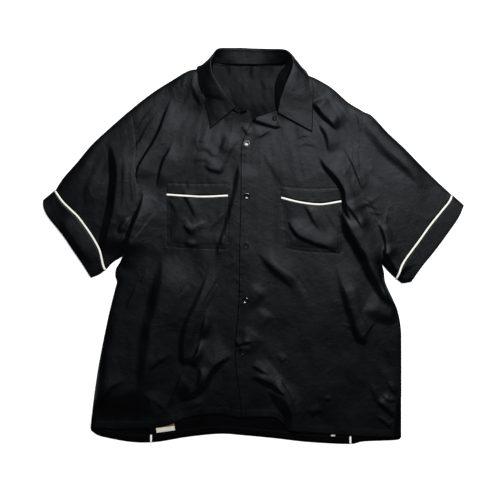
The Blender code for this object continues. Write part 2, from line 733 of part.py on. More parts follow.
body = tops("yoke", "front_left", "front_right")
wall = COLLAR_WALL / 2
rest = wall + GAP + 0.35
grid = []
for name, seam, roll, turn, edge in COLLAR:
    base = height_at(body, *seam)
    if base is None:
        base = max(h for h in (height_at(body, seam[0] + dx, seam[1] + dy)
                               for dx in (-3, 0, 3) for dy in (-3, 0, 3))
                   if h is not None)
    grid.append([list(p) for p in
                 section((*seam, base + rest), roll, turn, edge)])
# two columns between sections, along a smooth run
rows = list(zip(*grid))
rows = [[tuple(p) for p in spline3] for spline3 in
        ([tuple(q) for q in spline(row, 2)] for row in rows)]
last = len(rows) - 1
for j, row in enumerate(rows):
    for i, p in enumerate(row):
        x, y, z = p
        if j > 2 and z < 4:
            z = max(z, wall)
        else:
            under_it = [height_at(body, x + dx, y + dy)
                        for dx in (-5, 0, 5) for dy in (-5, 0, 5)]
            under_it = [h for h in under_it if h is not None]
            if under_it:
                z = max(z, max(under_it) + rest)
        row[i] = (x, y, z)
n = len(rows[0])
mid = [Vector(p) for row in rows for p in row]
quads = [(j * n + i, j * n + i + 1, (j + 1) * n + i + 1, (j + 1) * n + i)
         for j in range(last) for i in range(n - 1)]
tris = [t for a, b, c, d in quads for t in ((a, b, c), (a, c, d))]
normal = [Vector() for _ in mid]
for a, b, c in tris:
    face = (mid[b] - mid[a]).cross(mid[c] - mid[a])
    for k in (a, b, c):
        normal[k] += face
normal = [v.normalized() for v in normal]
size = len(mid)
verts = [m + v * wall for m, v in zip(mid, normal)]
verts += [m - v * wall for m, v in zip(mid, normal)]
verts = [Vector((v.x, v.y, max(v.z, 0.0))) for v in verts]
faces = tris + [(c + size, b + size, a + size) for a, b, c in tris]
ring = ([i for i in range(n)] + [j * n + n - 1 for j in range(1, last + 1)]
        + [last * n + i for i in range(n - 2, -1, -1)]
        + [j * n for j in range(last - 1, 0, -1)])
for a, b in zip(ring, ring[1:] + ring[:1]):
    faces += [(b, a, a + size), (b, a + size, b + size)]
add_solid("collar", verts, faces, "cloth")


# ---- buttons: four holes, a dished face and a rounded rim ------------------
def button(name, x, y, radius):
    rings = ((radius, 14, 0.72), (radius * 0.84, 14, 1.0),
             (radius * 0.62, 10, 0.74))
    pts, heights, faces = [], [], []
    for r, count, high in rings:
        faces.append(list(range(len(pts), len(pts) + count)))
        for k in range(count):
            turn = 2 * math.pi * k / count
            pts.append(Vector((r * math.cos(turn), r * math.sin(turn))))
            heights.append(BUTTON_H * high)
    holes = []
    for k in range(4):
        turn = math.pi / 4 + k * math.pi / 2
        cx, cy = (radius * 0.28 * f(turn) for f in (math.cos, math.sin))
        holes.append(list(range(len(pts), len(pts) + 5)))
        for m in range(5):
            a = 2 * math.pi * m / 5
            pts.append(Vector((cx + radius * 0.13 * math.cos(a),
                               cy + radius * 0.13 * math.sin(a))))
            heights.append(BUTTON_H * 0.74)
    out = delaunay_2d_cdt(pts, [], faces[:1] + faces[1:] + holes, 0, 1e-5,
                          True)
    tris = [tuple(f) for f, ids in zip(out[2], out[5])
            if ids and max(ids) < len(faces)]
    flat = [(v.x, v.y, heights[o[0]]) for v, o in zip(out[0], out[3])]
    trees = tops("front_right")
    spots = [Vector((x + radius * dx, y + radius * dy,
                     height_at(trees, x + radius * dx, y + radius * dy)))
             for dx, dy in ((0, 0), (1, 0), (-1, 0), (0, 1), (0, -1),
                            (0.7, 0.7), (-0.7, 0.7), (0.7, -0.7),
                            (-0.7, -0.7))]
    tilt_x = (spots[1].z - spots[2].z) / (2 * radius)
    tilt_y = (spots[3].z - spots[4].z) / (2 * radius)
    lift = max(s.z - tilt_x * (s.x - x) - tilt_y * (s.y - y) for s in spots)
    n = len(flat)
    verts = []
    for top in (1, 0):
        for px, py, h in flat:
            z = lift + GAP + 0.25 + tilt_x * px + tilt_y * py
            verts.append((x + px, y + py, z + (h if top else 0)))
    faces = tris + [tuple(k + n for k in t[::-1]) for t in tris]
    used = {}
    for t in tris:
        for a, b in zip(t, t[1:] + t[:1]):
            used.setdefault(frozenset((a, b)), []).append((a, b))
    for uses in used.values():
        if len(uses) == 1:
            a, b = uses[0]
            faces += [(b, a, a + n), (b, a + n, b + n)]
    add_solid(name, verts, faces, "gloss")


for name, x, y, radius in BUTTONS:
    button(name, x, y, radius)

# ---- the frame's origin is the middle of the outline, on the surface -------
corners = np.array([v.co for o in parts.objects for v in o.data.vertices])
low, high = corners.min(0), corners.max(0)
middle = Vector(((low[0] + high[0]) / 2, (low[1] + high[1]) / 2, low[2]))
for solid in parts.objects:
    for v in solid.data.vertices:
        v.co -= middle
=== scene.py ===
import json
import math

import bmesh
import bpy
import numpy as np
from mathutils import Matrix, Vector, noise
from mathutils.bvhtree import BVHTree

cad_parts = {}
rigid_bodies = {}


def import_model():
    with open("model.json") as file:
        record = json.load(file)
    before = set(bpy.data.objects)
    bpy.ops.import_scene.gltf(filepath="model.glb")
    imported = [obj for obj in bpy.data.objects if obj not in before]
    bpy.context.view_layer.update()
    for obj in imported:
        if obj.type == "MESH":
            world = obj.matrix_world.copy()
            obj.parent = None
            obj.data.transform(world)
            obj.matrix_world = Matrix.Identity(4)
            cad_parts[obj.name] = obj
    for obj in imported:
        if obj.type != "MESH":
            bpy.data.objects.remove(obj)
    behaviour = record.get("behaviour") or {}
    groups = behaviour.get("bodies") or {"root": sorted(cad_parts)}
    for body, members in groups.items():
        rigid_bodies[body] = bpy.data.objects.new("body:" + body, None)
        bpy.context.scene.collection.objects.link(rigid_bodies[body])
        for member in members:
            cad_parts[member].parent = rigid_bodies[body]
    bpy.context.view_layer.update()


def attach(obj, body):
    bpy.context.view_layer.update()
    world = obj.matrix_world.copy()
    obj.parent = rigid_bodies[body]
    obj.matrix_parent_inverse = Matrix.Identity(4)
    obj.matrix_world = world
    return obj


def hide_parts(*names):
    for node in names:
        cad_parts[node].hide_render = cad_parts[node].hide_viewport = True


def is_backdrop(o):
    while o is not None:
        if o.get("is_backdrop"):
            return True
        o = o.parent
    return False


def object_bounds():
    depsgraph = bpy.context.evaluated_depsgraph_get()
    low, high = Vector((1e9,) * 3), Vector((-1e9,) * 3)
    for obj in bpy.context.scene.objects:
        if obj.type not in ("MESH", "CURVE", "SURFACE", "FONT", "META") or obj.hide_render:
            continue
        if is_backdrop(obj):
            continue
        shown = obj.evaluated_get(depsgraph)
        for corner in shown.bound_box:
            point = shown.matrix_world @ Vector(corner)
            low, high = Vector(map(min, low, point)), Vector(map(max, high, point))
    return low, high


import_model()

# ---- Back: three long panels, hemmed, lying flat on the table --------------
# Black rayon with a satin face. The panels are sewn to each other over a
# cord of cream piping, and the shirt's whole weight presses them flat.
MM = 0.001
MIDDLE = (0.036, 1.755)      # the tables' zero against the frame's, mm
CLOTH = 0.8                  # thickness that shows, mm
FLAT = 0.45                  # middle of a panel that lies on the table, mm
CELL = 2.2                   # mesh step along a panel, mm
SEAM = 3.6                   # width that a piped seam takes, mm


def smooth(t):
    t = np.clip(t, 0, 1)
    return t * t * (3 - 2 * t)


def length(pts):
    return np.linalg.norm(np.diff(pts, axis=0), axis=1).sum()


def so_far(pts):
    """How far along a line each of its points lies."""
    steps = np.linalg.norm(np.diff(pts, axis=0), axis=1)
    return np.concatenate([[0], np.cumsum(steps)])


def resample(pts, count=None, step=CELL):
    """The line in equal steps: count of them, or about step mm each."""
    run = so_far(pts)
    count = count or max(2, round(run[-1] / step))
    at = np.linspace(0, run[-1], count + 1)
    return np.stack([np.interp(at, run, pts[:, k])
                     for k in range(pts.shape[1])], 1)


def line(rows, count=None):
    """A smooth line through the rows, in equal steps, corners at its ends."""
    pts = [np.array(r, float) for r in rows]
    if len(pts) > 2:
        pts = [2 * pts[0] - pts[1]] + pts + [2 * pts[-1] - pts[-2]]
        t = np.linspace(0, 1, 16, endpoint=False)[:, None]
        pts = [0.5 * (2 * b + (c - a) * t + (2 * a - 5 * b + 4 * c - d) * t ** 2
                      + (3 * b - a - 3 * c + d) * t ** 3)
               for a, b, c, d in zip(pts, pts[1:], pts[2:], pts[3:])]
        pts = np.vstack(pts + [np.array(rows[-1], float)[None]])
    return resample(np.array(pts), count)


def edge(count, *lines):
    """Lines that follow on, as one edge of a panel with count steps."""
    sizes = [length(pts) for pts in lines]
    left, out = count, []
    for pts, size in zip(lines[:-1], sizes):
        n = max(1, round(count * size / sum(sizes)))
        left -= n
        out.append(resample(pts, n))
    out.append(resample(lines[-1], left))
    return np.vstack([out[0]] + [pts[1:] for pts in out[1:]])


def cut(pts, axis, value):
    """The two parts of a line that crosses value along the axis."""
    pts = np.asarray(pts)
    k = next(i for i in range(len(pts) - 1)
             if (pts[i, axis] - value) * (pts[i + 1, axis] - value) <= 0)
    t = (value - pts[k, axis]) / (pts[k + 1, axis] - pts[k, axis])
    hit = pts[k] + (pts[k + 1] - pts[k]) * t
    return np.vstack([pts[:k + 1], hit]), np.vstack([hit, pts[k + 1:]])


# x, y, half width, half depth and height of the rise over the collar's fall
COLLAR_RISE = (1, 358, 150, 95, 4.6)


def under_height(p):
    """Middle of the under layer, raised where the collar's fall is under it:
    fully inside 0.8 of the rise's oval, and not at all past 1.35."""
    x, y, wide, deep, lift = COLLAR_RISE
    r = np.hypot((p[:, 0] - x) / wide, (p[:, 1] - y) / deep)
    return FLAT + lift * smooth((1.35 - r) / 0.55)


def distance(p, pts):
    """Plan distance to a line, the side of it, and how far along it."""
    best = np.full(len(p), 1e9)
    side, run, start = np.zeros(len(p)), np.zeros(len(p)), 0.0
    for a, b in zip(pts, pts[1:]):
        d = b - a
        size = math.hypot(d[0], d[1]) or 1e-9
        t = np.clip(((p - a) @ d) / size ** 2, 0, 1)
        off = p - (a + t[:, None] * d)
        dist = np.hypot(off[:, 0], off[:, 1])
        near = dist < best
        best = np.where(near, dist, best)
        side = np.where(near, d[0] * off[:, 1] - d[1] * off[:, 0], side)
        run = np.where(near, start + t * size, run)
        start += size
    return best, np.sign(side), run / start


def metres(x, y, z):
    """A point of the tables, in mm, where the frame has it, in m."""
    return ((x - MIDDLE[0]) * MM, (y - MIDDLE[1]) * MM, z * MM)


def panel(bm, bottom, right, top, left, height, flip=False):
    """A grid laid between four edges (bottom and top run left to right,
    left and right run upwards), at the height that its plan points get."""
    nu, nv = len(bottom) - 1, len(left) - 1
    uv = bm.loops.layers.uv.verify()
    verts = bmesh.ops.create_grid(bm, x_segments=nu, y_segments=nv,
                                  size=0.5)["verts"]
    ij = np.array([(round((v.co.x + 0.5) * nu), round((v.co.y + 0.5) * nv))
                   for v in verts])
    u, v = ij[:, 0] / nu, ij[:, 1] / nv
    uu, vv = u[:, None], v[:, None]
    p = ((1 - vv) * bottom[ij[:, 0]] + vv * top[ij[:, 0]]
         + (1 - uu) * left[ij[:, 1]] + uu * right[ij[:, 1]]
         - ((1 - uu) * (1 - vv) * bottom[0] + uu * (1 - vv) * bottom[-1]
            + (1 - uu) * vv * top[0] + uu * vv * top[-1]))
    wide, tall = length(bottom) * MM, length(left) * MM
    spot = {}
    for vert, q, h, a, c in zip(verts, p, height(p), u, v):
        vert.co = metres(*q, h)
        spot[vert] = (a * wide, c * tall)
    faces = {f for vert in verts for f in vert.link_faces}
    for f in faces:
        for loop in f.loops:
            loop[uv].uv = spot[loop.vert]
    if flip:
        bmesh.ops.reverse_faces(bm, faces=list(faces))
    return bm


def linear(code):
    """A hex sRGB colour as linear light."""
    c = [int(code[i:i + 2], 16) / 255 for i in (1, 3, 5)]
    return [x / 12.92 if x <= 0.04045 else ((x + 0.055) / 1.055) ** 2.4
            for x in c] + [1.0]


def node(tree, kind, values=None, inputs=None):
    """One shader node with its settings. An input gets a value, or a link
    where it is given another node's output."""
    n = tree.nodes.new(kind)
    for key, value in (values or {}).items():
        setattr(n, key, value)
    for key, value in (inputs or {}).items():
        if isinstance(value, bpy.types.NodeSocket):
            tree.links.new(value, n.inputs[key])
        else:
            n.inputs[key].default_value = value
    return n


def material(name):
    """A material and its node tree, still empty."""
    m = bpy.data.materials.new(name)
    m.use_nodes = True
    m.node_tree.nodes.clear()
    return m, m.node_tree


def black_rayon(name, rough=0.40, gloss_level=0.12):
    """Filament rayon woven as a satin: near black, with a soft wide gloss
    of a faint cool tint that follows each fold. Its wrong side is the same
    black with half the gloss."""
    m, t = material(name)
    uv = node(t, "ShaderNodeTexCoord").outputs["UV"]
    place = node(t, "ShaderNodeTexCoord").outputs["Object"]
    # soft unevenness of dye and handling, about 40 mm across
    cloud = node(t, "ShaderNodeTexNoise", None,
                 {"Vector": place, "Scale": 24.0, "Detail": 3.0,
                  "Roughness": 0.55}).outputs["Fac"]
    tone = node(t, "ShaderNodeValToRGB", None, {"Fac": cloud})
    for stop, at, code in zip(tone.color_ramp.elements, (0.3, 0.75),
                              ("#010102", "#030304")):
        stop.position = at
        stop.color = linear(code)
    gloss = node(t, "ShaderNodeMapRange", None,
                 {0: cloud, 1: 0.25, 2: 0.75, 3: rough - 0.05,
                  4: rough + 0.07}).outputs[0]
    # warp and weft 0.5 mm apart, drawn coarser than the real 0.2 mm; the
    # wave repeats every 0.314 / scale
    warp, weft = (node(t, "ShaderNodeTexWave", {"bands_direction": axis},
                       {"Vector": uv, "Scale": 628.0, "Distortion": 0.6,
                        "Detail": 1.0}).outputs["Fac"] for axis in "XY")
    weave = node(t, "ShaderNodeMath", {"operation": "MULTIPLY"},
                 {0: warp, 1: weft}).outputs[0]
    # hand creases too small for the mesh, 6 to 15 mm apart
    crease = node(t, "ShaderNodeTexNoise", None,
                  {"Vector": place, "Scale": 75.0, "Detail": 4.0,
                   "Roughness": 0.6, "Distortion": 0.4}).outputs["Fac"]
    fine = node(t, "ShaderNodeBump", None,
                {"Strength": 0.12, "Distance": 0.0002, "Height": weave})
    both = node(t, "ShaderNodeBump", None,
                {"Strength": 0.4, "Distance": 0.0012, "Height": crease,
                 "Normal": fine.outputs[0]})
    skin = node(t, "ShaderNodeBsdfPrincipled", None,
                {"Base Color": tone.outputs[0], "Roughness": gloss,
                 "Normal": both.outputs[0], "IOR": 1.5,
                 "Specular IOR Level": gloss_level,
                 "Specular Tint": linear("#eff8ff"), "Sheen Weight": 0.02,
                 "Sheen Roughness": 0.4, "Sheen Tint": linear("#c9d6da")})
    node(t, "ShaderNodeOutputMaterial", None, {0: skin.outputs[0]})
    return m


def add_object(name, data):
    o = bpy.data.objects.new(name, data)
    bpy.context.scene.collection.objects.link(o)
    return o


def finish_piece(bm, name, cad, finish):
    """Turn a modelled shape into a piece that stands for its CAD solids."""
    mesh = bpy.data.meshes.new(name)
    bm.to_mesh(mesh)
    bm.free()
    mesh.polygons.foreach_set("use_smooth", [True] * len(mesh.polygons))
    mesh.materials.append(finish)
    piece = add_object(name, mesh)
    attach(piece, "root")
    for n in cad:
        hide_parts(n)
    return piece


rayon_inside = black_rayon("black_rayon_wrong_side", rough=0.46,
                           gloss_level=0.06)
BESIDE = 2.5                 # an edge this near to a seam is crisp, mm


def finish_cloth(bm, name, cad, finish, flat, held="laid", thick=CLOTH,
                 slot="black_cloth", area=None, on=(), inside=rayon_inside,
                 crisp=()):
    """Turn a modelled sheet into cloth with a real thickness. Its faces look
    out of the garment, and the side behind them is the wrong side. Its
    edge is soft, but crisp near the crisp lines, where it meets a seam."""
    bmesh.ops.remove_doubles(bm, verts=bm.verts, dist=1e-5)
    rim = [e for e in bm.edges if e.is_boundary]
    middle = np.array([((e.verts[0].co + e.verts[1].co) / 2)[:2] for e in rim])
    for pts in crisp:
        for e, near in zip(rim, distance(middle / MM + MIDDLE, pts)[0]):
            if near < BESIDE:
                e.smooth = False
    piece = finish_piece(bm, name, cad, finish)
    piece.data.materials.append(inside)
    wall = piece.modifiers.new("wall", "SOLIDIFY")
    wall.thickness = thick * MM
    wall.offset = 0.0
    wall.material_offset = 1


rayon_back = black_rayon("black_rayon_back")
# painted shade: the back panels' wrong side, whose turned hem lies in the shade of the
# fronts, is a copy of the wrong side with half its gloss, so it reads darker
rayon_back_shaded = black_rayon("black_rayon_back_inside_painted_shade", rough=0.5, gloss_level=0.03)
YOKE_SEAM = 230.0
armhole = {
    "left": line(((-239, 266), (-233, 237), (-229, 198), (-230, 159),
                  (-225, 126), (-221, 104), (-227, 79), (-239, 48),
                  (-247, 13), (-255, -19))),
    "right": line(((215, 262), (210, 227), (206, 198), (207, 159),
                   (215, 110), (227, 81), (243, 54), (254, 20),
                   (254, -11), (250, -34))),
}
side_seam = {
    "left": line(((-255, -19), (-261, -32), (-268, -44), (-269, -58),
                  (-266, -69), (-270, -85), (-284, -143), (-303, -241),
                  (-316, -338), (-317, -358))),
    "right": line(((250, -34), (254, -50), (257, -71), (272, -104),
                   (281, -126), (287, -159), (288, -202), (288, -371))),
}
back_hem = line(((-317, -358), (-305, -367), (-284, -373), (-237, -381),
                 (-190, -381), (-128, -371), (-65, -365), (-19, -368),
                 (44, -374), (106, -381), (186, -385), (215, -380),
                 (278, -377), (288, -371)))
back_seam = {"left": (-182, -200), "right": (176, 189)}  # x at yoke and hem


def back_line(side, k):
    """One edge of a piped back seam, from the hem up to the yoke."""
    top, foot = (x + k * SEAM / 2 for x in back_seam[side])
    y = cut(back_hem, 0, foot)[0][-1][1]
    return np.array([(foot, y), (top, YOKE_SEAM)])


HEM = 15                     # depth of a turned hem, mm
HEM_ROW = 13.5               # its row of stitches, mm from the edge


def turned_hem(p, pts, step):
    """Extra height where a hem is turned to the inside and sewn down."""
    near = distance(p, pts)[0]
    row = np.exp(-((near - HEM_ROW) / 1.2) ** 2)
    return step * smooth((HEM + 1 - near) / 2) - 0.12 * row


def back_height(p):
    return under_height(p) + turned_hem(p, back_hem[::2], 0.4)


far_left = cut(back_hem, 0, back_line("left", -1)[0][0])[0]
centre_hem = cut(cut(back_hem, 0, back_line("left", 1)[0][0])[1], 0,
                 back_line("right", -1)[0][0])[0]
far_right = cut(back_hem, 0, back_line("right", 1)[0][0])[1]
hole_back = {s: cut(armhole[s], 1, YOKE_SEAM)[1] for s in armhole}
UP = 130                     # mesh steps from the hem to the yoke
rise_back = {s: edge(UP, side_seam[s][::-1], hole_back[s][::-1])
             for s in side_seam}
# CAD node: hem, mesh steps across, left and right edge, flat size and area
BACK_PANELS = {
    "back_centre": (centre_hem, 80, line(back_line("left", 1), UP),
                    line(back_line("right", -1), UP), (0.372, 0.60), None),
    "back_side_left": (far_left, 26, rise_back["left"],
                       line(back_line("left", -1), UP),
                       (0.115, 0.605), 0.045),
    "back_side_right": (far_right, 26, line(back_line("right", 1), UP),
                        rise_back["right"], (0.112, 0.605), 0.044),
}
for cad, (hem, across, left, right, flat, area) in BACK_PANELS.items():
    bm = panel(bmesh.new(), resample(hem, across), right,
               line([left[-1], right[-1]], across), left, back_height,
               flip=True)
    # the wrong side that faces up is the darkened copy: painted shade
    finish_cloth(bm, "back_panel_" + cad.split("_")[-1], [cad], rayon_back,
                 flat, area=area, inside=rayon_back_shaded)

# ---- Piping of the back seams ----------------------------------------------
# Cream cotton cord wrapped in a bias strip and caught in the seam, so a
# bead 4 mm wide stands along it, pressed to an oval. It ends at the hem.


def cream_cotton(name, low="#f3efe4", high="#fffdf8", tan_above=None):
    """Plain-woven cotton bias strip: warm white, matt, with a fine rib. A
    label's far edge can be tan from tan_above metres on."""
    m, t = material(name)
    place = node(t, "ShaderNodeTexCoord").outputs["Object"]
    cloud = node(t, "ShaderNodeTexNoise", None,
                 {"Vector": place, "Scale": 60.0,
                  "Detail": 4.0}).outputs["Fac"]
    tone = node(t, "ShaderNodeValToRGB", None, {"Fac": cloud})
    for stop, at, code in zip(tone.color_ramp.elements, (0.3, 0.7),
                              (low, high)):
        stop.position = at
        stop.color = linear(code)
    colour = tone.outputs[0]
    if tan_above is not None:
        uv = node(t, "ShaderNodeTexCoord").outputs["UV"]
        across = node(t, "ShaderNodeSeparateXYZ", None, {0: uv}).outputs[1]
        far = node(t, "ShaderNodeMath", {"operation": "GREATER_THAN"},
                   {0: across, 1: tan_above}).outputs[0]
        colour = node(t, "ShaderNodeMix", {"data_type": "RGBA"},
                      {0: far, 6: colour, 7: linear("#6b5238")}).outputs[2]
    # threads about 1 mm apart
    rib = node(t, "ShaderNodeTexNoise", None,
               {"Vector": place, "Scale": 900.0, "Detail": 2.0}).outputs["Fac"]
    bump = node(t, "ShaderNodeBump", None,
                {"Strength": 0.35, "Distance": 0.0003, "Height": rib})
    skin = node(t, "ShaderNodeBsdfPrincipled", None,
                {"Base Color": colour, "Normal": bump.outputs[0],
                 "Roughness": 0.85, "Sheen Weight": 0.2})
    node(t, "ShaderNodeOutputMaterial", None, {0: skin.outputs[0]})
    return m


def bead(bm, path, wide, high, closed=False, sides=14):
    """A bead along a path of (x, y, z); wide and high are half sizes, mm."""
    n = len(path)
    made = bmesh.ops.create_grid(bm, x_segments=n - 1 + closed,
                                 y_segments=sides, size=0.5)
    along = (np.roll(path, -1, 0) - np.roll(path, 1, 0) if closed
             else np.gradient(path, axis=0))
    along = along / np.linalg.norm(along, axis=1)[:, None]
    for v in made["verts"]:
        i = round((v.co.x + 0.5) * (n - 1 + closed)) % n
        turn = 2 * math.pi * (v.co.y + 0.5)
        d = Vector(along[i])
        out = d.cross(Vector((0, 0, 1)))
        out = out.normalized() if out.length > 0.05 else Vector((1, 0, 0))
        up = out.cross(d).normalized()
        q = (Vector(path[i]) + out * wide * math.cos(turn)
             + up * high * math.sin(turn))
        v.co = metres(*q)
    bmesh.ops.remove_doubles(bm, verts=made["verts"], dist=2e-6)
    if not closed:
        bmesh.ops.holes_fill(bm, edges=[e for e in bm.edges if e.is_boundary],
                             sides=0)
    bmesh.ops.recalc_face_normals(bm, faces=bm.faces)


ALLOWANCE = 14               # width of the seam's overlocked edges, mm
FLAT_CORD = 1.15             # middle of a cord in a flat seam, mm
BEAD = (1.9, 1.1)            # its half width and half height, mm
cotton = cream_cotton("cream_cotton_piping")
for side in ("left", "right"):
    foot, top = back_line(side, 0)
    run = line([foot, top], 160)
    bm = bmesh.new()
    bead(bm, np.column_stack([run, np.full(len(run), FLAT_CORD)]), *BEAD)
    finish_piece(bm, "back_bead_" + side, ["back_piping_" + side], cotton)
    # on the inside the seam's raw edges lie over the cord down to the hem,
    # which is turned up and so shows the cord again
    start = foot + (top - foot) * (HEM + 0.5) / (top - foot)[1]
    wide = np.array((ALLOWANCE / 2, 0))
    bm = panel(bmesh.new(), line([start - wide, start + wide], 8),
               line([start + wide, top + wide], UP),
               line([top - wide, top + wide], 8),
               line([start - wide, top - wide], UP),
               lambda p: back_height(p) + 0.9
               + 1.3 * np.exp(-(distance(p, run[::20])[0] / 2.8) ** 2))
    finish_cloth(bm, "back_allowance_" + side, [], rayon_inside,
                 (ALLOWANCE * MM, 0.59), on=["back_panel_centre"])

# ---- How the upper layer lies: folds, swells and pressed edges -------------
# The shirt was laid down and not smoothed, so the cloth over the chest and
# the body stands in long soft folds that run out of the armpits, pockets
# and buttons. Every fold is a ridge with one steep and one gentle face.
BEND = 1.2                   # a pressed fold above the under layer, mm
LAYER = 1.75                 # one layer above another, mm
LOFT = 3.6                   # how high a loose layer lies, mm
EASE = 7.0                   # run over which it rises from a pressed edge, mm
TURN = 1.6                   # radius of a pressed fold, mm
